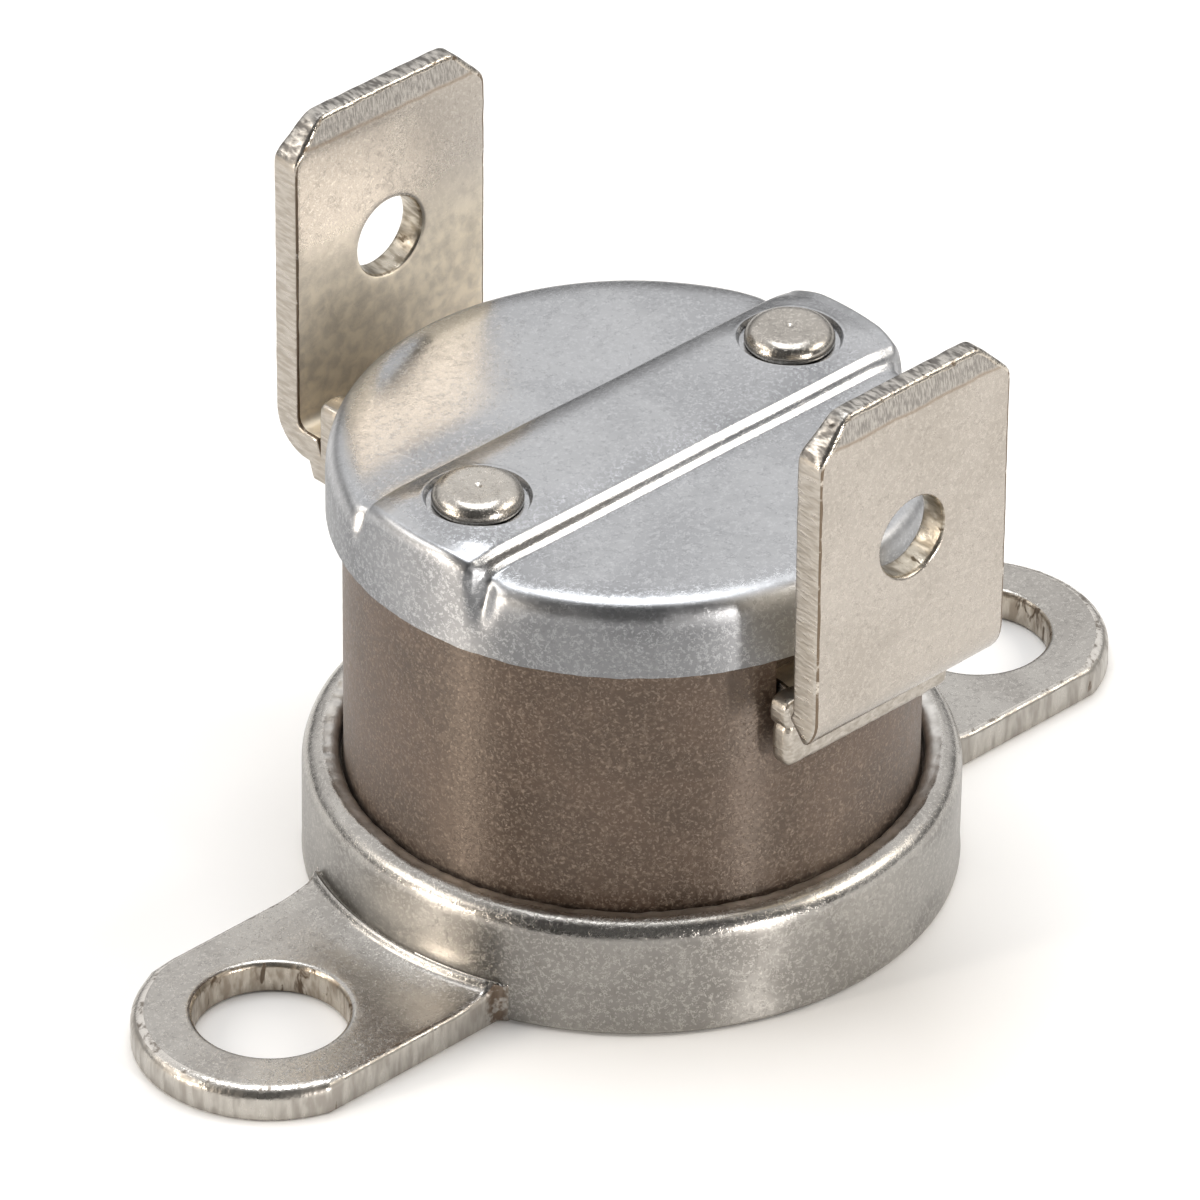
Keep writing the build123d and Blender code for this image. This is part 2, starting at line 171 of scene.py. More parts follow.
for name, turn, height, distance, width, tall, brightness, colour in PANELS:
    away = way_to(math.radians(turn), math.radians(height))
    panel = bpy.data.lights.new(name, "AREA")
    panel.shape = "RECTANGLE"
    panel.size, panel.size_y = width, tall
    panel.energy = brightness * math.pi * width * tall
    panel.color = colour
    lamp = bpy.data.objects.new(name, panel)
    scene.collection.objects.link(lamp)
    lamp.location = away * distance + PART_MIDDLE
    lamp.rotation_mode = "QUATERNION"
    lamp.rotation_quaternion = (-away).to_track_quat("-Z", "Y")
print("light panels:", len(PANELS))

# %% Lay the floor
FLOOR_REACH = 6.0
FLOOR_Z = -0.00002


def lay_floor():
    """A plain pale sheet under the thermostat, wide enough to reach past every view."""
    corners = [(FLOOR_REACH * x, FLOOR_REACH * y, 0) for x, y in ((-1, -1), (1, -1), (1, 1), (-1, 1))]
    mesh = bpy.data.meshes.new("floor")
    mesh.from_pydata(corners, [], [(0, 1, 2, 3)])
    floor = bpy.data.objects.new("floor", mesh)
    scene.collection.objects.link(floor)
    floor.location.z = FLOOR_Z
    paper = bpy.data.materials.new("pale_paper")
    paper.use_nodes = True
    tree = paper.node_tree
    shader = tree.nodes["Principled BSDF"]
    shader.inputs["Roughness"].default_value = 0.9
    shader.inputs["Specular IOR Level"].default_value = 0.1
    where = add_node(tree, "ShaderNodeTexCoord").outputs["Object"]
    mottle = add_node(tree, "ShaderNodeTexNoise", {"Vector": where, "Scale": 40.0, "Detail": 3.0}).outputs[0]
    ends = {0: mottle, 6: (0.955, 0.955, 0.955, 1), 7: (0.97, 0.97, 0.97, 1)}
    tone = add_node(tree, "ShaderNodeMix", ends, data_type="RGBA")
    tree.links.new(tone.outputs[2], shader.inputs["Base Color"])
    mesh.materials.append(paper)


lay_floor()
print("floor laid at z = 0")

# %% [markdown]
# ## Building a finish from nodes
# A finish is a base colour, a roughness and a fine relief, each varied by noise in millimetres on
# the piece itself. The helper below adds one small thing at a time: spots, curly thread-like
# scratches, streaks, stains. Image textures would look right from one side only, and noise in the
# piece's own space wraps round every edge.

# %% A helper that mixes finishes


class Finish:
    """A material being mixed. Each short call adds nodes and gives back the output to use next."""

    def __init__(self, name, metallic=1.0, **sockets):
        self.material = bpy.data.materials.new(name)
        self.material.use_nodes = True
        self.tree = self.material.node_tree
        self.shader = self.tree.nodes["Principled BSDF"]
        self.shader.inputs["Metallic"].default_value = metallic
        for key, value in sockets.items():
            self.shader.inputs[key.replace("_", " ")].default_value = value
        where = self.add("ShaderNodeTexCoord").outputs["Object"]
        self.where = self.add("ShaderNodeVectorMath", {0: where, "Scale": 1 / MM}, operation="SCALE").outputs[0]
        self.relief = None

    def add(self, kind, inputs=None, **settings):
        return add_node(self.tree, kind, inputs, **settings)

    def maths(self, sign, a, b=0.0):
        return self.add("ShaderNodeMath", {0: a, 1: b}, operation=sign).outputs[0]

    def times(self, a, b):
        return self.maths("MULTIPLY", a, b)

    def plus(self, a, b):
        return self.maths("ADD", a, b)

    def span(self, value, low, high, to_low=0.0, to_high=1.0):
        return smooth_range(self.tree, value, low, high, to_low, to_high)

    def xyz(self):
        """The place on the piece as three outputs, in millimetres."""
        return self.add("ShaderNodeSeparateXYZ", {0: self.where}).outputs

    def square_sum(self, a, b):
        return self.plus(self.times(a, a), self.times(b, b))

    def stretched(self, stretch, turn=(0, 0, 0)):
        """The place on the piece, squeezed along some axes and turned, for marks that run one way."""
        return self.add("ShaderNodeMapping", {"Vector": self.where, "Rotation": turn, "Scale": stretch}).outputs[0]

    def spots(self, per_mm, detail=2.0, twist=0.0, where=None, rough=0.5):
        """Soft noise, from 0 to 1, with about this many spots in a millimetre."""
        inputs = {"Vector": where or self.where, "Scale": per_mm, "Detail": detail, "Roughness": rough}
        inputs["Distortion"] = twist
        return self.add("ShaderNodeTexNoise", inputs).outputs[0]

    def curls(self, per_mm, thin, twist, patches_per_mm, low, high, strength=1.0):
        """Short curly lines: where soft noise passes through its middle value, in scattered patches."""
        off = self.maths("ABSOLUTE", self.maths("SUBTRACT", self.spots(per_mm, 1.0, twist), 0.5))
        patches = self.span(self.spots(patches_per_mm, 0.0), low, high, 0.0, strength)
        return self.times(self.span(off, 0.0, thin, 1.0, 0.0), patches)

    def tone(self, share, first, second):
        """A colour that goes from first to second; each is a triple or another output."""
        ends = [c if isinstance(c, bpy.types.NodeSocket) else (*c, 1) for c in (first, second)]
        return self.add("ShaderNodeMix", {0: share, 6: ends[0], 7: ends[1]}, data_type="RGBA").outputs[2]

    def press(self, height, depth):
        """Relief of this depth in millimetres, on top of the relief that is there."""
        inputs = {"Height": height, "Distance": depth * MM, "Strength": 1.0}
        if self.relief is not None:
            inputs["Normal"] = self.relief
        self.relief = self.add("ShaderNodeBump", inputs).outputs[0]

    def brush(self, share):
        """Draws reflections out up and down a turned wall, by this share from 0 to 1."""
        around = self.add("ShaderNodeTangent", direction_type="RADIAL", axis="Z").outputs[0]
        self.tree.links.new(around, self.shader.inputs["Tangent"])
        self.shader.inputs["Anisotropic Rotation"].default_value = 0.25
        feed(self.tree, self.shader.inputs["Anisotropic"], share)

    def done(self, colour, roughness):
        """Joins colour, roughness and relief to the shader and gives the material."""
        self.tree.links.new(colour, self.shader.inputs["Base Color"])
        self.tree.links.new(roughness, self.shader.inputs["Roughness"])
        if self.relief is not None:
            self.tree.links.new(self.relief, self.shader.inputs["Normal"])
        return self.material


print("finish helper ready")

# %% [markdown]
# ## The metal finishes
# All small stamped parts are tumbled after pressing, which leaves a satin skin full of tiny curly
# scratches. The cup's aluminium is a little warm, the cap's a little cool, and the tabs are plated
# with nickel over brass, so they are beige. Scratches are relief first, then a slightly brighter
# line. Drawn walls are duller, and draw their reflections out up and down. Upright walls are also
# painted darker, as painted shade.

# %% Mix the tumbled metals
WALL_BRUSH, WALL_DULLER = 0.85, 0.12


def scaled(colour, share):
    return tuple(min(1.0, c * share) for c in colour)


def tumbled(name, light, dark, smooth, rough, depth, cloud=0.35, upright=1.0):
    """Satin metal from the tumbling drum: the mix, its colour and its roughness. Upright is the
    share of the tone that upright walls keep: they are painted darker, as painted shade."""
    f = Finish(name)
    clouds = f.spots(cloud, 4.0, 0.6)
    fine = f.spots(13.0, 1.0)
    curls = f.curls(6.0, 0.06, 1.4, 7.0, 0.54, 0.60, 0.7)
    small_curls = f.curls(11.0, 0.10, 1.0, 8.5, 0.52, 0.58)
    scratches = f.maths("MAXIMUM", curls, f.times(small_curls, 0.7))
    nicks = f.curls(6.3, 0.06, 1.2, 5.0, 0.54, 0.60)
    cloudy = f.span(clouds, 0.35, 0.65)
    shade = f.tone(cloudy, dark, light)
    wear = f.plus(f.times(clouds, 0.6), f.times(fine, 0.4))
    roughness = f.span(wear, 0.2, 0.8, smooth, rough)
    if upright < 1:
        facing = f.add("ShaderNodeNewGeometry").outputs["Normal"]
        lean = f.maths("ABSOLUTE", f.add("ShaderNodeSeparateXYZ", {0: facing}).outputs["Z"])
        wall = f.span(lean, 0.1, 0.5, 1.0, 0.0)
        # Painted shade: upright walls are painted darker, keeping the share upright of their tone.
        shade = f.tone(wall, shade, f.tone(cloudy, scaled(dark, upright * 0.92), scaled(light, upright)))
        roughness = f.plus(roughness, f.times(wall, WALL_DULLER))
        f.brush(f.times(wall, WALL_BRUSH))
    dulled = f.tone(f.times(nicks, 0.3), shade, scaled(dark, 0.5))
    f.press(f.maths("SUBTRACT", f.plus(f.times(fine, 0.35), scratches), nicks), depth)
    return f, f.tone(scratches, dulled, scaled(light, 1.2)), roughness


def cup_aluminium():
    """The cup's skin, with the inner slope of its rolled lip painted lighter, as painted light, and duller from
    the crimping tool. Its upright wall is painted darker, as painted shade.
    """
    warm = ((0.455, 0.437, 0.410), (0.355, 0.338, 0.315))
    f, colour, roughness = tumbled("cup_aluminium", *warm, 0.17, 0.31, 0.0016, upright=0.84)
    x, y, z = f.xyz()
    out = f.maths("SQRT", f.square_sum(x, y))
    # Painted light: the inner slope of the rolled lip is painted a lighter tone.
    lip = f.times(f.span(out, 7.5, 7.72, 1.0, 0.0), f.span(z, 2.9, 3.0))
    worn_and_lit_tone = f.tone(f.span(f.spots(2.6, 3.0, 0.4), 0.35, 0.65), (0.66, 0.64, 0.61), (0.90, 0.88, 0.85))
    return f.done(f.tone(f.times(lip, 0.8), colour, worn_and_lit_tone), f.plus(roughness, f.times(lip, 0.10)))


def cap_aluminium():
    """The cap's skin: cooler, and duller round the edge and down the skirt, where it was drawn. Its skirt is
    painted darker, as painted shade.
    """
    cool = ((0.46, 0.467, 0.482), (0.375, 0.382, 0.396))
    f, colour, roughness = tumbled("cap_aluminium", *cool, 0.15, 0.28, 0.0011, upright=0.74)
    x, y, _ = f.xyz()
    out = f.maths("SQRT", f.square_sum(x, y))
    return f.done(colour, f.plus(roughness, f.span(out, 6.7, 7.2, 0.0, 0.12)))


cup_metal = cup_aluminium()
cap_metal = cap_aluminium()
rivet_mix, *rivet_look = tumbled("rivet_nickel", (0.50, 0.472, 0.433), (0.36, 0.337, 0.305), 0.18, 0.32, 0.0016)
rivet_metal = rivet_mix.done(*rivet_look)
print("tumbled metals mixed:", [m.name for m in (cup_metal, cap_metal, rivet_metal)])

# %% Mix the tabs' plating
COIN_Z, WARM_LOW_Z, WARM_HIGH_Z = 17.36, 12.6, 15.2


def plated_blade(name, light, dark):
    """Nickel over brass: satin, with a grey scratched band where the top is coined, and a light warm
    tone painted low down on the sides that face each other, as painted reflection."""
    f, colour, roughness = tumbled(name, light, dark, 0.20, 0.32, 0.0010, 0.3)
    _, across, height = f.xyz()
    raised = f.plus(height, f.times(f.spots(1.4, 2.0), 0.16))
    band = f.span(raised, COIN_Z, COIN_Z + 0.12)
    drag = f.spots(3.0, 3.0, 0.1, f.stretched((8.0, 8.0, 0.6)))
    worn_and_lit_tone = f.tone(f.span(drag, 0.36, 0.66), (0.215, 0.205, 0.195), (0.46, 0.44, 0.41))
    lip = f.times(f.span(raised, COIN_Z - 0.08, COIN_Z), f.span(raised, COIN_Z, COIN_Z + 0.08, 1.0, 0.0))
    tinted = f.tone(f.times(band, 0.8), colour, worn_and_lit_tone)
    f.press(f.times(band, drag), 0.004)
    # Painted reflection: the lower inner faces, which face the body and the cap, are painted a light warm tone.
    inner_side = f.span(f.maths("ABSOLUTE", across), 8.95, 9.1, 1.0, 0.0)
    low = f.times(f.span(height, WARM_LOW_Z, WARM_HIGH_Z, 1.0, 0.0), inner_side)
    mottle = f.span(f.spots(2.4, 4.0, 0.3), 0.3, 0.7, 0.55, 1.0)
    painted_warm_reflection = f.tone(f.times(low, mottle), tinted, (0.98, 0.895, 0.75))
    duller = f.plus(roughness, f.times(low, 0.30))
    return f.done(f.tone(f.times(lip, 0.5), painted_warm_reflection, (0.22, 0.155, 0.10)), duller)


tab_metal = plated_blade("tab_nickel", (0.480, 0.440, 0.394), (0.425, 0.386, 0.342))
print("plating mixed:", tab_metal.name)

# %% [markdown]
# ## Cut edges and bores
# A punch shears the sheet: the cut face has fine slanted marks, and in a bore some plating is
# missing, so brass or brown stain shows. These faces get their own finishes, with the noise drawn
# out along the punch's way.

# %% Mix the sheared finishes
EAR_CORNER_X, EAR_CORNER_Y = 7.65, 3.35


def sheared(name, light, dark, stretch, turn, stain, stain_from, corner_stain=False):
    """A punched face: drawn-out marks, brown specks, and rust in the corner by the cup's wall."""
    f = Finish(name)
    run = f.stretched(stretch, turn)
    marks = f.spots(3.0, 3.0, 0.2, run)
    fine = f.spots(10.0, 2.0)
    specks = f.span(f.spots(2.2, 5.0, 0.8, run), stain_from, stain_from + 0.08)
    shade = f.tone(f.span(marks, 0.35, 0.65), dark, light)
    if corner_stain:
        x, y, _ = f.xyz()
        off_x = f.maths("SUBTRACT", f.maths("ABSOLUTE", x), EAR_CORNER_X)
        off_y = f.maths("SUBTRACT", f.maths("ABSOLUTE", y), EAR_CORNER_Y)
        near = f.span(f.square_sum(off_x, off_y), 0.01, 0.16, 1.0, 0.0)
        specks = f.maths("MAXIMUM", specks, f.times(near, f.span(f.spots(5.0, 4.0), 0.40, 0.56)))
    colour = f.tone(f.times(specks, 0.8), shade, stain)
    f.press(f.plus(marks, f.times(fine, 0.25)), 0.02)
    return f.done(colour, f.plus(f.span(marks, 0.3, 0.7, 0.42, 0.26), f.times(specks, 0.3)))


cup_side = sheared(
    "cup_cut_side", (0.50, 0.475, 0.435), (0.345, 0.32, 0.29), (1.4, 1.4, 0.3), (0, 0, 0),
    (0.12, 0.075, 0.045), 0.68, True,
)
cup_bore = sheared(
    "cup_cut_bore", (0.54, 0.49, 0.42), (0.33, 0.28, 0.225), (1.6, 1.6, 0.5), (0, 0, 0), (0.10, 0.065, 0.04), 0.58
)
tab_side = sheared(
    "tab_cut_side", (0.485, 0.448, 0.40), (0.375, 0.34, 0.295), (2.0, 0.7, 3.2), (0.5, 0, 0),
    (0.16, 0.115, 0.08), 0.70,
)
tab_bore = sheared(
    "tab_cut_bore", (0.55, 0.50, 0.42), (0.25, 0.215, 0.165), (1.6, 0.6, 1.6), (0.3, 0, 0),
    (0.10, 0.07, 0.04), 0.60,
)
tab_top = sheared(
    "tab_cut_top", (0.50, 0.475, 0.44), (0.15, 0.14, 0.13), (3.0, 1.0, 1.2), (0, 0, 0.5), (0.07, 0.06, 0.05), 0.64
)


def worn_and_shaded_edge(name, light, dark, per_mm, dark_share, bright_from=99.0):
    """A rounded edge: worn bright and smooth by the tool, with dark nicks and gaps along it. Its dark and bright
    stretches are partly painted shade and painted highlight, and above bright_from it is painted lighter, as a
    painted highlight.
    """
    f = Finish(name)
    height = f.xyz()["Z"]
    # Painted highlight above bright_from; the dark and bright stretches below are partly painted shade and
    # highlight.
    lift = f.span(height, bright_from, bright_from + 0.2, -dark_share, 0.06)
    breaks = f.plus(f.spots(per_mm, 4.0, 0.3, rough=0.65), lift)
    f.press(f.plus(breaks, f.times(f.spots(9.0, 1.0), 0.3)), 0.02)
    return f.done(f.tone(f.span(breaks, 0.40, 0.52), dark, light), f.span(breaks, 0.35, 0.6, 0.45, 0.18))


# The ears' and tabs' rounded edges: partly wear, partly painted shade and painted highlight.
cup_edge = worn_and_shaded_edge("cup_edge_worn_and_shaded", (0.64, 0.61, 0.57), (0.24, 0.215, 0.19), 2.8, -0.03)
tab_edge = worn_and_shaded_edge("tab_edge_worn_and_shaded", (0.60, 0.55, 0.48), (0.18, 0.138, 0.10), 3.4, 0.17, 16.9)
print("sheared and rubbed finishes mixed")

# %% [markdown]
# ## The moulded body
# The body is a filled phenolic moulding: dull brown, with fine mineral filler that sparkles a
# little, and a satin skin from the polished mould. It is not metal, so the sparkle is a brighter
# speck in the base colour rather than a mirror.

# %% Mix the mouldings and the ceramics


def moulded(name, light, dark, speck, roughness=0.42):
    """Mineral-filled moulding: cloudy brown, fine light specks, satin skin drawn out up and down."""
    f = Finish(name, metallic=0.0, IOR=1.55, Specular_IOR_Level=0.85, Specular_Tint=(1.0, 0.85, 0.73, 1.0))
    f.brush(0.95)
    clouds = f.spots(0.5, 4.0, 0.5)
    grain = f.spots(7.0, 2.0, 0.6)
    fibres = f.curls(9.5, 0.08, 1.0, 9.0, 0.50, 0.60)
    sparkle = f.span(f.spots(14.0, 0.0), 0.66, 0.74)
    base = f.tone(f.span(clouds, 0.3, 0.7), dark, light)
    dusted = f.tone(f.times(f.span(grain, 0.45, 0.75), 0.35), base, speck)
    flecks = f.maths("MAXIMUM", f.times(fibres, 0.45), f.times(sparkle, 0.6))
    f.press(f.plus(grain, f.times(fibres, 0.6)), 0.008)
    return f.done(f.tone(flecks, dusted, speck), f.span(grain, 0.3, 0.8, roughness - 0.08, roughness + 0.08))


def even(name, light, dark, metallic, smooth, rough, per_mm, depth):
    """A quiet finish for the inner works: two tones of one colour and a fine grain."""
    f = Finish(name, metallic=metallic)
    grain = f.spots(per_mm, 4.0, 0.3)
    f.press(grain, depth)
    return f.done(f.tone(f.span(grain, 0.3, 0.7), dark, light), f.span(grain, 0.3, 0.7, smooth, rough))


body_moulding = moulded("body_moulding", (0.068, 0.043, 0.030), (0.044, 0.028, 0.019), (0.24, 0.188, 0.148))
insulator_moulding = moulded("insulator_moulding", (0.10, 0.075, 0.06), (0.07, 0.05, 0.04), (0.2, 0.16, 0.13), 0.5)
ceramic = even("white_ceramic", (0.84, 0.82, 0.77), (0.78, 0.76, 0.70), 0.0, 0.45, 0.6, 8.0, 0.006)
disc_steel = even("disc_steel", (0.60, 0.57, 0.53), (0.48, 0.45, 0.42), 1.0, 0.25, 0.4, 6.0, 0.003)
contact_silver = even("contact_silver", (0.90, 0.88, 0.84), (0.78, 0.75, 0.70), 1.0, 0.2, 0.35, 7.0, 0.004)
arm_copper = even("arm_copper", (0.80, 0.45, 0.30), (0.68, 0.36, 0.22), 1.0, 0.25, 0.4, 7.0, 0.003)
clamp_brass = even("clamp_brass", (0.80, 0.63, 0.33), (0.68, 0.52, 0.26), 1.0, 0.25, 0.4, 7.0, 0.003)
washer_steel = even("washer_steel", (0.62, 0.61, 0.60), (0.50, 0.49, 0.48), 1.0, 0.3, 0.45, 7.0, 0.003)
print("mouldings and inner finishes mixed")

# %% [markdown]
# ## Turning, filling and bending
# Three ways of shaping cover every outer piece. A section turned round an axis makes the ring, the
# body and the rivets. A flat blank with softened edges, filled with triangles, makes the ears and
# the tabs before they are bent. A solid cut by others makes the slots and bores. All points are in
# millimetres, and only the last step turns them into metres.

# %% Make a piece from points
CRISP_ANGLE = math.radians(38)


def close_up(piece):
    """Welds points that meet, turns all faces outwards, and shades the piece smooth between crisp edges."""
    work = bmesh.new()
    work.from_mesh(piece.data)
    bmesh.ops.remove_doubles(work, verts=work.verts, dist=1e-7)
    bmesh.ops.recalc_face_normals(work, faces=work.faces)
    open_edges = sum(not edge.is_manifold for edge in work.edges)
    work.to_mesh(piece.data)
    work.free()
    piece.data.shade_smooth()
    piece.data.set_sharp_from_angle(angle=CRISP_ANGLE)
    print(piece.name, "faces", len(piece.data.polygons), "open edges", open_edges)


def make_piece(name, points, faces, finishes=(), kinds=None):
    """A mesh object from points in millimetres. Kinds say which finish each face gets."""
    mesh = bpy.data.meshes.new(name)
    mesh.from_pydata((np.asarray(points, float) * MM).tolist(), [], [tuple(int(i) for i in f) for f in faces])
    for finish in finishes:
        mesh.materials.append(finish)
    if kinds is not None:
        mesh.polygons.foreach_set("material_index", np.asarray(kinds, np.int32))
    piece = bpy.data.objects.new(name, mesh)
    scene.collection.objects.link(piece)
    close_up(piece)
    return piece


def dress(piece, slot, body, *nodes):
    """Gives a piece its body and hides the solids that it stands for. The slot is not used."""
    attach(piece, body)
    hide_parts(*nodes)


print("piece helpers ready")

# %% Turn a section


def turned(section, steps, ripple=None, centre=(0.0, 0.0)):
    """Points and faces of an (r, z) section turned round an upright axis. Ripple may move the points."""
    section = np.array(section, float)
    count = len(section)
    angle = (np.arange(steps) * 2 * math.pi / steps)[:, None]
    r, z = (np.repeat(section[None, :, i], steps, 0) for i in (0, 1))
    if ripple:
        r, z = ripple(r, z, np.broadcast_to(angle, r.shape))
    points = np.stack([centre[0] + r * np.cos(angle), centre[1] + r * np.sin(angle), z], -1).reshape(-1, 3)
    faces = []
    for j in range(steps):
        here, there = j * count, (j + 1) % steps * count
        faces += [(here + k, there + k, there + k + 1, here + k + 1) for k in range(count - 1)]
    return points, faces


def arc(middle, radius, start, end, steps):
    """Points on a circle, from one angle to another in degrees."""
    angles = np.radians(np.linspace(start, end, steps + 1))
    return np.stack([middle[0] + radius * np.cos(angles), middle[1] + radius * np.sin(angles)], -1)


def hole_loop(middle, radius, steps):
    """The outline of a round hole, clockwise, so that the metal lies on its left."""
    return arc(middle, radius, 360, 0, steps)[:-1]


print("turning helpers ready")

# %% Fill a flat shape


def is_inside(loop, spots):
    """Which spots lie inside a closed loop, by counting how often a level line leaves it."""
    x, y = spots[:, :1], spots[:, 1:2]
    x0, y0 = loop.T
    x1, y1 = np.roll(loop, -1, 0).T
    rise_y = np.where(y1 == y0, 1e-30, y1 - y0)
    crossed = ((y0 > y) != (y1 > y)) & (x < (x1 - x0) * (y - y0) / rise_y + x0)
    return crossed.sum(1) % 2 == 1


def in_metal(loops, spots):
    """Which spots lie inside the first loop and outside the others."""
    keep = is_inside(loops[0], spots)
    for hole in loops[1:]:
        keep &= ~is_inside(hole, spots)
    return keep


def spots_inside(loops, spots, gap):
    """The spots in the metal that are at least a gap away from every loop."""
    spots = spots[in_metal(loops, spots)]
    for loop in loops:
        far = np.array([((loop - s) ** 2).sum(1).min() for s in spots])
        spots = spots[far > gap * gap]
    return spots


def fill(loops, spots):
    """Triangles between the loops and the spots, numbered in that order."""
    edges, start = [], 0
    for loop in loops:
        edges += [(start + i, start + (i + 1) % len(loop)) for i in range(len(loop))]
        start += len(loop)
    every = [Vector(p) for p in np.vstack([*loops, spots])]
    found, _, faces, origin, _, _ = delaunay_2d_cdt(every, edges, [], 1, 1e-9)
    faces = np.array(faces)
    middles = np.array([tuple(p) for p in found])[faces].mean(1)
    first = np.array([o[0] for o in origin])
    return first[faces[in_metal(loops, middles)]]


def grid(x0, x1, y0, y1, step):
    """Evenly spaced spots, every other row shifted by half a step."""
    rows = []
    for i, y in enumerate(np.arange(y0, y1, step * 0.87)):
        x = np.arange(x0 + step / 2 * (i % 2), x1, step)
        rows.append(np.stack([x, np.full(len(x), y)], -1))
    return np.vstack(rows)


print("filling helpers ready")

# %% Cut a blank with soft edges
FLAT, SIDE, BORE, EDGE, TOP = range(5)
EDGE_GAP = 0.06


def inset(loop, by):
    """The loop moved into the metal, which lies on its left, by a distance at each point."""
    before = loop - np.roll(loop, 1, 0)
    after = np.roll(loop, -1, 0) - loop
    sides = []
    for way in (before, after):
        way = way / np.linalg.norm(way, axis=1)[:, None]
        sides.append(np.stack([-way[:, 1], way[:, 0]], -1))
    middle = sides[0] + sides[1]
    middle /= np.linalg.norm(middle, axis=1)[:, None]
    reach = 1 / np.maximum((middle * sides[1]).sum(1), 0.35)
    return loop + middle * (np.broadcast_to(by, len(loop)) * reach)[:, None]


def edge_rows(loop, thick, low, top, rounds):
    """Rows up the side of a blank, with its low and top edges rounded: each a loop and its height."""
    angles = [math.pi / 2 * k / rounds for k in range(rounds + 1)]
    rows = [(inset(loop, low * (1 - math.sin(a))), low * (1 - math.cos(a))) for a in angles]
    rows += [(loop, low + (thick - top - low) * share) for share in (0.33, 0.67)]
    return rows + [(inset(loop, top * (1 - math.cos(a))), thick - top * (1 - math.sin(a))) for a in angles]


def blank(loops, thick, low_edges, top_edges, spots, rounds=4):
    """A plate on its loops with rounded edges: points (u, v, w), faces, and the kind of each face."""
    points, faces, kinds, ends = [], [], [], [[], []]
    count = 0
    for number, loop in enumerate(loops):
        rows = edge_rows(loop, thick, low_edges[number], top_edges[number], rounds)
        size = len(loop)
        for row, (flat, height) in enumerate(rows):
            points.append(np.column_stack([flat, np.broadcast_to(height, size)]))
            if row:
                a, b = count - size, count
                near_flat = row <= 2 or row >= len(rows) - 2
                kind = (EDGE if near_flat else SIDE) if number == 0 else (FLAT if near_flat else BORE)
                faces += [(a + i, a + (i + 1) % size, b + (i + 1) % size, b + i) for i in range(size)]
                kinds += [kind] * size
            count += size
        ends[0].append((count - len(rows) * size, rows[0][0]))
        ends[1].append((count - size, rows[-1][0]))
    for side, height in ((0, 0.0), (1, thick)):
        edge_loops = [flat for _, flat in ends[side]]
        inner = spots_inside(edge_loops, spots, EDGE_GAP)
        numbers = [np.arange(start, start + len(flat)) for start, flat in ends[side]]
        numbers = np.concatenate([*numbers, np.arange(count, count + len(inner))])
        points.append(np.column_stack([inner, np.full(len(inner), height)]))
        count += len(inner)
        triangles = numbers[fill(edge_loops, inner)]
        faces += [tuple(face if side else face[::-1]) for face in triangles]
        kinds += [FLAT] * len(triangles)
    return np.vstack(points), faces, kinds


print("blank helpers ready")

# %% Cut and join solids


def cut_or_join(piece, others, how):
    """Joins other closed pieces to a piece, or cuts them out of it, and removes them."""
    for other in others:
        if not other.data.materials:
            for finish in piece.data.materials:
                other.data.materials.append(finish)
        change = piece.modifiers.new(other.name, "BOOLEAN")
        change.operation, change.solver, change.object = how, "MANIFOLD", other
    bpy.context.view_layer.update()
    shaped = bpy.data.meshes.new_from_object(piece.evaluated_get(bpy.context.evaluated_depsgraph_get()))
    piece.modifiers.clear()
    piece.data = shaped
    for other in others:
        bpy.data.objects.remove(other)
    close_up(piece)


print("cutting helper ready")

# %% [markdown]
# ## The base cup's ring
# The cup is drawn from one sheet: a floor that touches what it measures, an upright wall, and a rim
# rolled in over the body's flange. Rolling squeezes the rim's edge, so it has small radial wrinkles.
# A turned section gives the form, and a ripple adds the wrinkles and the slight unevenness that
# makes the reflections swim.

# %% Turn the ring
SHEET = 0.85
WALL_R, BORE_R, WELL_R, LIP_R, CREST_R = 8.15, 7.55, 5.9, 7.2, 7.64
WELL_Z, FLANGE_TOP, ROLL_Z, RIM_Z = 0.55, 2.55, 2.6, 3.2
FOOT_R = 0.18
WRINKLE, FINE_WRINKLE, DENT, SWAY = 0.05, 0.008, 0.012, 0.02


def wander(x, y, size, seed=0.0):
    """Smooth noise from -1 to 1 over places that are size millimetres apart."""
    flat_x, flat_y = np.broadcast_arrays(x, y)
    places = zip(flat_x.ravel(), flat_y.ravel())
    found = [noise.noise(Vector((a / size + seed, b / size - seed, seed * 1.7))) for a, b in places]
    return np.array(found).reshape(flat_x.shape)


def ring_section():
    """The cup's whole section, from the middle of its floor outwards, up, over and back inside."""
    foot = arc((WALL_R - FOOT_R, FOOT_R), FOOT_R, -90, 0, 4)
    wall = [(WALL_R, z) for z in (0.5, 0.85, 1.0, 1.2, 1.5, 1.9, 2.3)]
    roll = [
        (CREST_R + (WALL_R - CREST_R) * math.cos(a), ROLL_Z + (RIM_Z - ROLL_Z) * math.sin(a) ** 0.95)
        for a in np.radians(np.linspace(0, 90, 17))
    ]
    lip = [
        (7.58, 3.196), (7.52, 3.188), (7.46, 3.178), (7.4, 3.164), (7.34, 3.145), (7.28, 3.11), (7.235, 3.06),
        (LIP_R, 2.98),
    ]
    inside = [(LIP_R, FLANGE_TOP), (BORE_R, FLANGE_TOP), (BORE_R, SHEET), (WELL_R, SHEET), (WELL_R, WELL_Z)]
    return [(0, 0), (3.0, 0), (6.0, 0), *foot, *wall, *roll, *lip, *inside, (0, WELL_Z)]


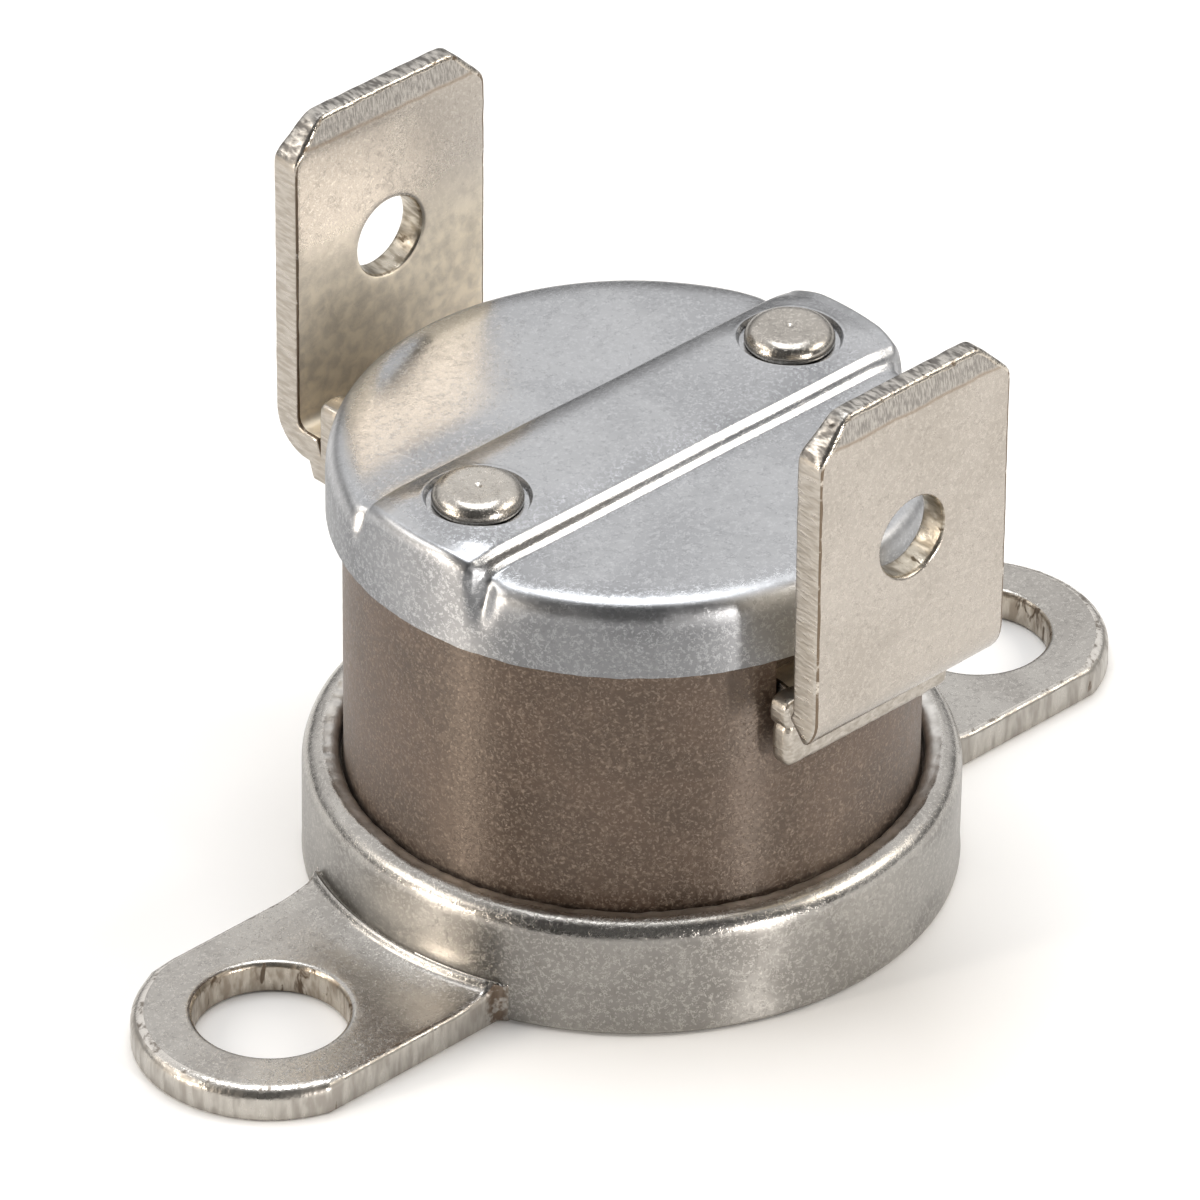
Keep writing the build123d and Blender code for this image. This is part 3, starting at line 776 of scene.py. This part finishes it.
def ring_ripple(r, z, angle):
    """Wrinkles on the rim's inner slope, small dents on its crest, and a faint unevenness of the wall."""
    x, y = np.cos(angle), np.sin(angle)
    slope = np.clip((7.72 - r) / 0.2, 0, 1) * (z > 2.9)
    wrinkles = wander(x * 60, y * 60, 3.0, 3.1) * WRINKLE
    wrinkles = wrinkles + wander(x * 60, y * 60, 1.3, 7.7) * FINE_WRINKLE - WRINKLE / 2
    crest = (z > 2.75) * (r > 7.7)
    dents = wander(x * 60 + r * 3, y * 60, 6.0, 1.9) * DENT
    outer = (r > 7.6) * (z > 0.4)
    sway = wander(x * 8, y * 8 + z, 3.0, 5.3) * SWAY
    return r + sway * outer - SWAY * outer, z + slope * wrinkles + crest * dents - DENT * crest


cup_finishes = (cup_metal, cup_side, cup_bore, cup_edge)
cup = make_piece("base_cup_dressed", *turned(ring_section(), 540, ripple=ring_ripple), cup_finishes)

# %% [markdown]
# ## The two ears
# Each ear is the same sheet as the floor, cut out round a screw hole. Its top edge is soft round the
# end and crisper along the straight sides, and near the ring the sheet sweeps up to the wall, where
# a thin bead runs. A flat blank is made first and then lifted near the wall, as the press does.

# %% Cut and lift the ears
EAR_X, EAR_HALF, EAR_END_R, EAR_HOLE_R = 12.0, 3.25, 3.4, 1.9
EAR_FLARE_R, EAR_ROOT_R = 0.3, WALL_R - 0.22
SWEEP_RISE, SWEEP_REACH = 0.26, 1.4
BEAD_ROWS = (
    -0.14, -0.06, -0.02, 0.01, 0.04, 0.07, 0.1, 0.13, 0.16, 0.19, 0.22, 0.25, 0.29, 0.34, 0.42, 0.55,
    0.73, 0.94, 1.2,
)


def ear_outline():
    """The plan of one ear, counter-clockwise: hidden arc in the wall, flares, straight sides, round end."""
    flare_y = EAR_HALF + EAR_FLARE_R
    flare_x = math.sqrt((WALL_R + EAR_FLARE_R) ** 2 - flare_y ** 2)
    touch = math.degrees(math.atan2(flare_y, flare_x))
    upper_flare = arc((flare_x, flare_y), EAR_FLARE_R, -90, touch - 180, 8)
    start = math.degrees(math.asin(EAR_HALF / EAR_END_R))
    end = arc((EAR_X, 0), EAR_END_R, -start, start, 72)
    hidden = arc((0, 0), EAR_ROOT_R, touch + 1.2, -touch - 1.2, 60)
    upper = np.vstack([np.linspace(end[-1], upper_flare[0], 42)[1:-1], upper_flare])
    return np.vstack([upper[::-1] * (1, -1), end, upper, hidden])


def ear_lift(x, y):
    """How far the top of the sheet is raised: a wide sweep up to the wall, and the thin bead beside it."""
    out = np.hypot(x, y) - WALL_R
    sweep = SWEEP_RISE * np.clip(1 - out / SWEEP_REACH, 0, 1) ** 2
    bead = 0.13 * np.exp(-((out - 0.17) / 0.085) ** 2) - 0.07 * np.exp(-((out - 0.02) / 0.04) ** 2)
    return np.where(out > -0.09, sweep + bead, 0.3)


def make_ear(side):
    """One ear as a closed solid, ready to be joined to the ring."""
    outline = ear_outline()
    round_end = np.clip((outline[:, 0] - 12.4) / 0.9, 0, 1)
    near_wall = np.clip((np.hypot(*outline.T) - WALL_R) / 0.3, 0.15, 1)
    rows = [arc((0, 0), WALL_R + out, -24, 24, 100) for out in BEAD_ROWS]
    spots = np.vstack([*rows, grid(9.55, EAR_X + EAR_END_R, -EAR_END_R, EAR_END_R, 0.22)])
    loops = [outline, hole_loop((EAR_X, 0), EAR_HOLE_R, 96)]
    soft = (0.15 + 0.17 * round_end) * near_wall
    points, faces, kinds = blank(loops, SHEET, [0.06, 0.06], [soft, 0.17], spots, 5)
    x, y, w = points.T
    warp = wander(x, y, 2.6, 2.2 * side) * 0.018
    z = w + (w / SHEET) * (ear_lift(x, y) + np.minimum(warp, 0.0) * (x > 8.6))
    return make_piece("ear", np.column_stack([side * x, side * y, z]), faces, cup_finishes, kinds)


cut_or_join(cup, [make_ear(1), make_ear(-1)], "UNION")
dress(cup, "cup_aluminium", "thermostat", "base_cup")

# %% [markdown]
# ## The moulded body
# The body is round, with a flange under the cup's rim, a switch chamber, a slot on each side for a
# tab, and bores for the pin and the rivets. Turning gives the outside, and cutters take out the
# rest, so the inside stays open for the parts that move.

# %% Mould the body
BODY_R, BODY_LOW, BODY_TOP, FLANGE_R = 7.1, 2.05, 11.3, 7.5
CHAMBER_HALF_W, CHAMBER_HALF_L, CHAMBER_Z = 3.1, 5.3, 7.0
SLOT_HALF, SLOT_Z, PIN_BORE_R = 1.85, 8.25, 1.05
RIVET_X, RIVET_HOLE_R, ARM_RIVET_X = 5.2, 0.85, 0.95
CUT_LOW, CUT_HIGH, CUT_OUT = 1.5, 12, 9


def box_cutter(half_w, y0, y1, z0, z1):
    """A plain block used only as a cutter."""
    corners = [(x, y, z) for z in (z0, z1) for x, y in ((-half_w, y0), (half_w, y0), (half_w, y1), (-half_w, y1))]
    sides = [(i, (i + 1) % 4, (i + 1) % 4 + 4, i + 4) for i in range(4)]
    return make_piece("cutter", corners, [(3, 2, 1, 0), (4, 5, 6, 7), *sides])


def bore_cutter(radius, z0, z1, x=0.0, y=0.0):
    """A round rod used only as a cutter."""
    return make_piece("cutter", *turned([(0, z0), (radius, z0), (radius, z1), (0, z1)], 48, centre=(x, y)))


body_section = [
    (0, BODY_LOW), (FLANGE_R, BODY_LOW), (FLANGE_R, 2.5), (FLANGE_R - 0.05, FLANGE_TOP),
    (BODY_R + 0.05, FLANGE_TOP), (BODY_R, 2.6), *[(BODY_R, z) for z in np.linspace(3.0, 11.1, 19)],
    (BODY_R - 0.1, BODY_TOP), (0, BODY_TOP),
]
body = make_piece("housing_dressed", *turned(body_section, 360), (body_moulding,))
cutters = [
    box_cutter(CHAMBER_HALF_W, -CHAMBER_HALF_L, CHAMBER_HALF_L, SLOT_Z, CUT_HIGH),
    box_cutter(CHAMBER_HALF_W, -CHAMBER_HALF_L, 3.1, 7.55, 8.5),
    box_cutter(CHAMBER_HALF_W, -2.2, 3.1, CHAMBER_Z, 8.0),
    box_cutter(SLOT_HALF, 5.2, CUT_OUT, SLOT_Z, CUT_HIGH),
    box_cutter(SLOT_HALF, -CUT_OUT, -5.2, SLOT_Z, CUT_HIGH),
    bore_cutter(PIN_BORE_R, CUT_LOW, 7.5),
]
for x in (-RIVET_X, RIVET_X):
    cutters += [bore_cutter(RIVET_HOLE_R, CUT_LOW, CUT_HIGH, x), bore_cutter(1.5, CUT_LOW, 3.05, x)]
for x in (-ARM_RIVET_X, ARM_RIVET_X):
    cutters.append(bore_cutter(0.85, 7.8, 8.5, x, 4.25))
cut_or_join(body, cutters, "DIFFERENCE")
dress(body, "body_moulding", "thermostat", "housing")

# %% [markdown]
# ## The drawn cap
# The cap is a shallow cup of thin aluminium with a rib pressed up across it. The rib runs out through
# the rounded edge, where the metal folds and pinches, and it is sunk a little round each rivet. A
# height over the plan gives the top, rows round the edge give the bend, and the same rows set in by
# the sheet's thickness give the inside.

# %% The cap's height over its plan
CAP_R, CAP_SHEET, SKIRT_Z, FLAT_Z = 7.5, 0.35, 10.0, 12.1
RIB_RISE, RIB_HALF, RIB_SLOPE = 0.55, 1.9, 0.28
RECESS_R, RECESS_DEEP = 1.3, 0.15


def ease(value):
    value = np.clip(value, 0, 1)
    return value * value * (3 - 2 * value)


def rib_share(y, under=0.0):
    """1 on the rib, 0 beside it, with softly rounded crest and root."""
    off = RIB_HALF + RIB_SLOPE - 0.05 - under - np.abs(y)
    shoulder = 0.27 * np.clip(1 - (off - RIB_SLOPE - 0.08) / 0.85, 0, 1) ** 1.6
    bends = 0.25 * (ease(off / 0.16) + ease((off - 0.26) / 0.16))
    return (bends + 0.5 * ease((off - 0.135) / 0.15)) * (1 - shoulder)


def cap_top(x, y, under=0.0):
    """The height of the cap's skin over its plan, or of its underside when set in by under."""
    z = FLAT_Z - under + RIB_RISE * rib_share(y, under)
    if under == 0:
        for centre in (-RIVET_X, RIVET_X):
            r = np.hypot(x - centre, y)
            z = z - RECESS_DEEP * ease((RECESS_R + 0.02 - r) / 0.08)
            z = z + 0.016 * np.exp(-((r - RECESS_R - 0.06) / 0.05) ** 2)
        z = z - 0.06 * np.exp(-((y - 2.3) / 0.6) ** 2) - 0.02 * np.exp(-((y + 2.7) / 0.4) ** 2)
        z = z + wander(x, y, 3.2, 4.4) * 0.02 - 0.03
    return z - 0.10 * np.clip((np.hypot(x, y) - 6.3 + under) / 0.8, 0, 1) ** 2


print("rib crest", round(FLAT_Z + RIB_RISE, 2), "mm high, flat", FLAT_Z)

# %% Bend the cap's edge


def rim_angles():
    """Angles round the cap, closer together where the rib runs out."""
    cross = math.degrees(math.asin((RIB_HALF + RIB_SLOPE / 2) / CAP_R))
    close = [base + way * cross + d for base in (0, 180) for way in (-1, 1) for d in np.arange(-3.75, 3.76, 0.25)]
    return np.radians(np.unique(np.round(np.mod(np.concatenate([np.arange(0, 360, 1.0), close]), 360), 4)))


def cap_rows(under):
    """Rows of points from the top's edge, round the bend and down the skirt."""
    angles = rim_angles()
    outer_r = CAP_R - under
    bend = 0.46 - 0.20 * rib_share(outer_r * np.sin(angles), under) - under * 0.3
    rows = []
    for a in np.radians(np.linspace(0, 90, 9)):
        r = outer_r - bend + bend * np.sin(a)
        x, y = r * np.cos(angles), r * np.sin(angles)
        rows.append(np.column_stack([x, y, cap_top(x, y, under) - 1.9 * bend * (1 - np.cos(a))]))
    last = rows[-1]
    low = SKIRT_Z + 0.03 * wander(np.cos(angles) * 30, np.sin(angles) * 30, 1.5, 6.1) + 0.03
    for share in (0.15, 0.35, 0.6, 0.85, 1.0):
        rows.append(np.column_stack([last[:, :2], last[:, 2] + (low - last[:, 2]) * share]))
    return rows


def pinch(points):
    """The folds where the rib's sloped sides run out through the bend: the skin is drawn in there."""
    fold_y = RIB_HALF + RIB_SLOPE
    fold_x = math.sqrt(CAP_R ** 2 - fold_y ** 2)
    for sx in (-1, 1):
        for sy in (-1, 1):
            spot = np.array([sx * fold_x, sy * (fold_y + 0.02), FLAT_Z - 0.42])
            far = (((points - spot) * (1.0, 1.5, 0.7)) ** 2).sum(1)
            pull = 0.17 * np.exp(-far / 0.38 ** 2)
            points = points - np.column_stack([sx * pull, sy * 0.28 * pull, 0.5 * pull])
    return points


print("points round the cap's edge:", len(rim_angles()))

# %% Press the cap
HOLE_STEPS = 40
RECESS_ROWS = (0.97, 1.12, 1.24, 1.28, 1.32, 1.36, 1.42, 1.5)


def off_rivets(spots):
    """How far each spot is from the nearer rivet's axis."""
    return np.minimum(*[np.hypot(spots[:, 0] - x, spots[:, 1]) for x in (RIVET_X, -RIVET_X)])


def cap_spots():
    """Where the top's triangles meet: fine rows along the rib's slopes, rings round the rivets, a field."""
    slope_y = np.arange(1.55, 2.46, 0.04)
    along_x = np.arange(-7.2, 7.2, 0.16)
    along = np.vstack([np.column_stack([along_x, np.full(len(along_x), y)]) for y in (*slope_y, *-slope_y)])
    rings = [arc((x, 0), r, 0, 360, 60)[:-1] for x in (-RIVET_X, RIVET_X) for r in RECESS_ROWS]
    field = grid(-7.3, 7.3, -7.3, 7.3, 0.24)
    off_slopes = (np.abs(field[:, 1]) < 1.45) | (np.abs(field[:, 1]) > 2.5)
    return np.vstack([along[off_rivets(along) > 1.58], *rings, field[off_slopes & (off_rivets(field) > 1.6)]])


def bridge(here, there, size):
    """Faces between two closed rows of points, which start at these numbers."""
    return [(here + i, there + i, there + (i + 1) % size, here + (i + 1) % size) for i in range(size)]


def press_cap():
    """The whole cap: outer skin, lower rim, inner skin, and the two rivet holes through both."""
    holes = [hole_loop((x, 0), RIVET_HOLE_R, HOLE_STEPS) for x in (-RIVET_X, RIVET_X)]
    spots = cap_spots()
    points, faces, count, starts = [], [], 0, []
    for under, way in ((0.0, 1), (CAP_SHEET, -1)):
        rows = cap_rows(under)
        size = len(rows[0])
        loops = [rows[0][:, :2], *holes]
        inner = spots_inside(loops, spots, 0.05)
        flat = np.vstack([*loops, inner])
        faces += [tuple(face[::way]) for face in fill(loops, inner) + count]
        points.append(np.column_stack([flat, cap_top(flat[:, 0], flat[:, 1], under)]))
        starts.append(count)
        row_start = count
        count += len(flat)
        for row in rows[1:]:
            faces += [quad[::way] for quad in bridge(row_start, count, size)]
            points.append(row)
            row_start = count
            count += size
        starts.append(row_start)
    outer_top, outer_low, inner_top, inner_low = starts
    faces += bridge(outer_low, inner_low, size)
    for hole in (size, size + HOLE_STEPS):
        faces += bridge(outer_top + hole, inner_top + hole, HOLE_STEPS)
    return pinch(np.vstack(points)), faces


cap = make_piece("top_cap_dressed", *press_cap(), (cap_metal,))
dress(cap, "cap_aluminium", "thermostat", "top_cap")

# %% [markdown]
# ## The cover rivets
# Each rivet has a domed head with a broad flat crown and a small centre mark left by the setting
# tool. Below the cap its shank runs to a closed end and a washer. One turned section makes it all.

# %% Turn the rivets
HEAD_Z, CROWN_Z, SHANK_R = 12.5, 12.95, 0.75


def rivet_section():
    """From the centre mark over the dome, down the shank and round the closed end."""
    mark = [(0, CROWN_Z - 0.07), (0.04, CROWN_Z - 0.06), (0.08, CROWN_Z - 0.024)]
    crown = [(0.14, CROWN_Z - 0.02), (0.3, CROWN_Z - 0.018), (0.48, CROWN_Z - 0.014), (0.60, CROWN_Z - 0.006)]
    dome = [
        (0.71, CROWN_Z), (0.80, 12.944), (0.88, 12.922), (0.95, 12.885), (1.01, 12.835), (1.06, 12.775),
        (1.095, 12.71), (1.115, 12.65), (1.12, 12.60), (1.12, 12.54), (1.10, HEAD_Z),
    ]
    shank = [(SHANK_R, HEAD_Z), (SHANK_R, 3.05), (SHANK_R, 2.75)]
    return [*mark, *crown, *dome, *shank, (1.15, 2.75), (1.15, 2.3), (1.1, 2.25), (0, 2.25)]


def rivet_unevenness(r, z, angle):
    """A head that is hammered, not turned: slightly lopsided, with a faint dent."""
    head = z > 12.55
    lop = wander(r * np.cos(angle), r * np.sin(angle), 0.9, 8.8)
    return r * (1 + 0.006 * head * lop), z - np.abs(lop) * 0.02 * head * (r < 1.0)


for name, x in (("left", -RIVET_X), ("right", RIVET_X)):
    shape = turned(rivet_section(), 128, ripple=rivet_unevenness, centre=(x, 0))
    rivet = make_piece(f"cover_rivet_{name}_dressed", *shape, (rivet_metal,))
    dress(rivet, "rivet_nickel", "thermostat", f"cover_rivet_{name}")

# %% [markdown]
# ## The push-on tabs
# A tab starts as a flat strip of plated brass: cut corners and a hole at its top, a narrower tongue
# at its foot. The press thins its top edge into a lead-in, folds the blade up and sets a step in the
# foot. The blank is made flat, with soft edges, and then led along the folded path.

# %% The folded path
TAB_HALF, TAB_THICK, TAB_TOP, TAB_OUT = 3.15, 0.8, 18.0, 9.5
BEND_OUT_R, BEND_IN_R, BEND_STEPS, SHELF_Z = 1.1, 0.3, 12, 8.7
TONGUE_HALF, FOOT_NARROW, STOP_Y = 1.75, 1.8, 7.15
TONGUE_LOW, TONGUE_HIGH = 8.25, 9.05
BEND_END = 1 + BEND_STEPS


def tab_path(end_y, drop):
    """The folded sheet seen from its edge: run lengths, and the (y, z) places of its two skins."""
    bend_y, bend_z = TAB_OUT - BEND_OUT_R, SHELF_Z + BEND_OUT_R
    outer = [(TAB_OUT, TAB_TOP), (TAB_OUT, bend_z)]
    inner = [(TAB_OUT - TAB_THICK, TAB_TOP), (TAB_OUT - TAB_THICK, bend_z)]
    for a in np.radians(np.linspace(0, 90, BEND_STEPS + 1))[1:]:
        outer.append((bend_y + BEND_OUT_R * math.cos(a), bend_z - BEND_OUT_R * math.sin(a)))
        inner.append((bend_y + BEND_IN_R * math.cos(a), bend_z - BEND_IN_R * math.sin(a)))
    outer += [(8.3, SHELF_Z), (8.15, TONGUE_LOW)]
    inner += [(8.0, 9.5), (7.85, TONGUE_HIGH)]
    if drop:
        outer += [(5.2, TONGUE_LOW), (5.05, TONGUE_LOW - drop)]
        inner += [(4.9, TONGUE_HIGH), (4.75, TONGUE_HIGH - drop)]
    outer.append((end_y, TONGUE_LOW - drop))
    inner.append((end_y, TONGUE_HIGH - drop))
    outer, inner = np.array(outer), np.array(inner)
    middle = (outer + inner) / 2
    run = np.concatenate([[0], np.cumsum(np.linalg.norm(np.diff(middle, axis=0), axis=1))])
    return run, outer, inner


def run_at(path, y):
    """How far along the foot the sheet's middle reaches a given y."""
    run, outer, inner = path
    middle_y = ((outer + inner) / 2)[:, 0]
    return float(np.interp(-y, -middle_y[BEND_END + 1:], run[BEND_END + 1:]))


print("blade length before the bend:", round(tab_path(3.4, 0)[0][1], 2), "mm")

# %% Cut the tabs' blanks
TAB_HOLE_R, HOLE_DROP, CORNER, TAB_REACH = 1.05, 4.3, 0.95, 3.1


def dense(corners, step):
    """A closed outline with points about a step apart along its straight sides."""
    made = []
    for a, b in zip(corners, [*corners[1:], corners[0]]):
        a, b = np.array(a, float), np.array(b, float)
        pieces = max(1, round(np.linalg.norm(b - a) / step))
        made += [a + (b - a) * i / pieces for i in range(pieces)]
    return np.array(made)


def round_corners(loop, passes=3):
    """Softens an outline's corners, by moving each point towards the middle of its neighbours."""
    for _ in range(passes):
        loop = loop * 0.5 + (np.roll(loop, 1, 0) + np.roll(loop, -1, 0)) * 0.25
    return loop


def tab_blank(path):
    """The flat strip: u across, v along from the blade's top, w through the sheet from its outer skin."""
    run = path[0]
    cut_run = run[1] + 0.62 * (run[BEND_END] - run[1])
    stop_run, end_run = run_at(path, STOP_Y), run[-1]
    outline = round_corners(dense([
        (TAB_HALF - CORNER, 0), (TAB_HALF, CORNER), (TAB_HALF, cut_run), (FOOT_NARROW, cut_run),
        (FOOT_NARROW, stop_run), (TONGUE_HALF, stop_run), (TONGUE_HALF, end_run), (-TONGUE_HALF, end_run),
        (-TONGUE_HALF, stop_run), (-TAB_HALF, stop_run), (-TAB_HALF, CORNER), (CORNER - TAB_HALF, 0),
    ], 0.12))
    across = np.arange(-TAB_REACH, TAB_REACH, 0.25)
    rows = [np.column_stack([across, np.full(len(across), v)]) for v in np.arange(8.0, end_run, 0.09)]
    spots = np.vstack([grid(-TAB_REACH, TAB_REACH, 0.05, 7.9, 0.2), *rows])
    wobble = 1 + 0.35 * wander(outline[:, 0] * 2, outline[:, 1] * 2, 0.9, 9.3)
    soft = (0.09 + 0.05 * np.clip(1.3 - outline[:, 1], 0, 1)) * wobble
    loops = [outline, hole_loop((0, HOLE_DROP), TAB_HOLE_R, 72)]
    return blank(loops, TAB_THICK, [soft, 0.13], [soft, 0.13], spots)


print("hole to blade top:", round(HOLE_DROP - TAB_HOLE_R, 2), "mm")

# %% Coin and fold the tabs
COIN_H, COIN_DEEP, TOP_FACE_Z = 0.8, 0.15, 17.0
# The folded lugs at a tab's foot: x, y and z from and to, and how soft their edges are.
LUGS = (
    (-TAB_HALF, 2.32, STOP_Y, 7.75, 7.2, 8.45, 0.18),
    (-TAB_HALF, -2.35, 7.27, 7.9, 8.5, 10.6, 0.08),
    (1.5, 2.38, 7.17, 7.72, 8.3, 9.12, 0.07),
)
tab_finishes = (tab_metal, tab_side, tab_bore, tab_edge, tab_top)


def fold(points, path):
    """Leads the flat blank along the folded path, with its top edge coined thinner."""
    run, outer, inner = path
    u, v, w = points.T
    coin = np.clip(1 - v / COIN_H, 0, 1) * 2 * COIN_DEEP / TAB_THICK
    share = 0.5 + (w / TAB_THICK - 0.5) * (1 - coin)
    sway = 0.012 * wander(u, v, 2.4, 6.6)
    skins = [np.column_stack([np.interp(v, run, skin[:, i]) for i in (0, 1)]) for skin in (outer, inner)]
    share = share + np.abs(sway) / TAB_THICK * (0.5 - share) * 2
    return np.column_stack([u, skins[0] + (skins[1] - skins[0]) * share[:, None]])


def make_lug(x0, x1, y0, y1, z0, z1, soft):
    """A small folded lug: a block whose corners and edges are softened, standing on its XZ outline."""
    outline = round_corners(dense([(x0, z0), (x1, z0), (x1, z1), (x0, z1)], 0.12), 6)
    points, faces, _ = blank([outline], y1 - y0, [soft], [soft], grid(x0, x1, z0, z1, 0.25))
    x, z, w = points.T
    rough = 0.05 * wander(x * 3, z * 3 + w, 0.8, 1.1) * (z < z1 - 0.2)
    return make_piece("lug", np.column_stack([x, y1 - w, z + rough]), faces, tab_finishes, [SIDE] * len(faces))


def fold_tab(name, end_y, drop):
    """One finished tab, as it stands at the rear."""
    path = tab_path(end_y, drop)
    points, faces, kinds = tab_blank(path)
    tab = make_piece(name, fold(points, path), faces, tab_finishes, kinds)
    for face in tab.data.polygons:
        if face.material_index == SIDE and face.normal.z > 0.5 and face.center.z > TOP_FACE_Z * MM:
            face.material_index = TOP
    cut_or_join(tab, [make_lug(*sizes) for sizes in LUGS], "UNION")
    return tab


tab_rear = fold_tab("tab_rear_dressed", 3.4, 0)
tab_front = fold_tab("tab_front_dressed", 2.2, 0.7)
tab_front.data.transform(Matrix.Rotation(math.pi, 4, "Z"))
for tab, node_name in ((tab_rear, "tab_rear"), (tab_front, "tab_front")):
    dress(tab, "tab_nickel", "thermostat", node_name)

# %% [markdown]
# ## The springy contact arm
# The arm is a thin copper strip, riveted to the rear tab at its wide end. When the pin rises, the
# strip bends just in front of its clamp and lifts the contact off. A rigid strip would be cut by the
# pin; this one is a flat mesh with many rows. The ceramic pin has slightly domed ends, so that it
# rolls on the tilted strip.

# %% Cut the contact arm
ARM_Z, ARM_SHEET, ARM_ROOT_Y, ARM_END_Y = 9.05, 0.2, 3.4, 5.1
ARM_HALF, ARM_TIP_R, ARM_TIP_Y = 1.7, 1.25, -3.3
ARM_RIVET_R, CONTACT_HOLE_R, ARM_SOFT = 0.43, 0.53, 0.03
arm_corners = [(ARM_HALF, ARM_ROOT_Y), (ARM_HALF, ARM_END_Y), (-ARM_HALF, ARM_END_Y), (-ARM_HALF, ARM_ROOT_Y)]
arm_loops = [
    dense([*arm_corners, *arc((0, ARM_TIP_Y), ARM_TIP_R, 180, 360, 28)], 0.2),
    *[hole_loop((x, (ARM_ROOT_Y + ARM_END_Y) / 2), ARM_RIVET_R, 24) for x in (-ARM_RIVET_X, ARM_RIVET_X)],
    hole_loop((0, ARM_TIP_Y), CONTACT_HOLE_R, 24),
]
arm_spots = grid(-ARM_HALF, ARM_HALF, -4.8, ARM_END_Y, 0.15)
arm_points, arm_faces, _ = blank(arm_loops, ARM_SHEET, [ARM_SOFT] * 4, [ARM_SOFT] * 4, arm_spots, 2)
arm = make_piece("contact_arm_dressed", arm_points + (0, 0, ARM_Z), arm_faces, (arm_copper,))
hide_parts("contact_arm")
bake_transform(arm)

# %% Turn the domed pin
# Each row: distance from the pin's axis, and how far the dome has sunk there.
DOME = (
    (0, 0), (0.25, 0.01), (0.5, 0.042), (0.7, 0.082), (0.82, 0.112), (0.9, 0.15), (0.96, 0.205), (0.99, 0.265),
    (1.0, 0.34),
)
pin_low, pin_high = (corner[2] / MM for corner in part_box("transfer_pin"))
pin_section = [(r, pin_low + sag) for r, sag in DOME] + [(r, pin_high - sag) for r, sag in reversed(DOME)]
pin = make_piece("transfer_pin_dressed", *turned(pin_section, 96), (ceramic,))
dress(pin, "pin_ceramic", "pin", "transfer_pin")
print("pin from", round(pin_low, 3), "to", round(pin_high, 3), "mm")

# %% [markdown]
# ## The inner works
# The bimetal disc, guide plate, contacts and clamp are shut in and stiff, so their solids are
# good enough as they are. They only swap the plain colour of the solid model for a finish.

# %% Finish the inner works
inner_finishes = {
    "bimetal_disc": disc_steel, "guide_plate": ceramic, "fixed_contact": contact_silver,
    "moving_contact": contact_silver, "arm_clamp": clamp_brass, "arm_rivet_left": clamp_brass,
    "arm_rivet_right": clamp_brass, "cover_insulator": insulator_moulding, "rivet_washer_left": washer_steel,
    "rivet_washer_right": washer_steel,
}
for node_name, finish in inner_finishes.items():
    for material_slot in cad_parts[node_name].material_slots:
        material_slot.material = finish
print("inner pieces finished:", len(inner_finishes))
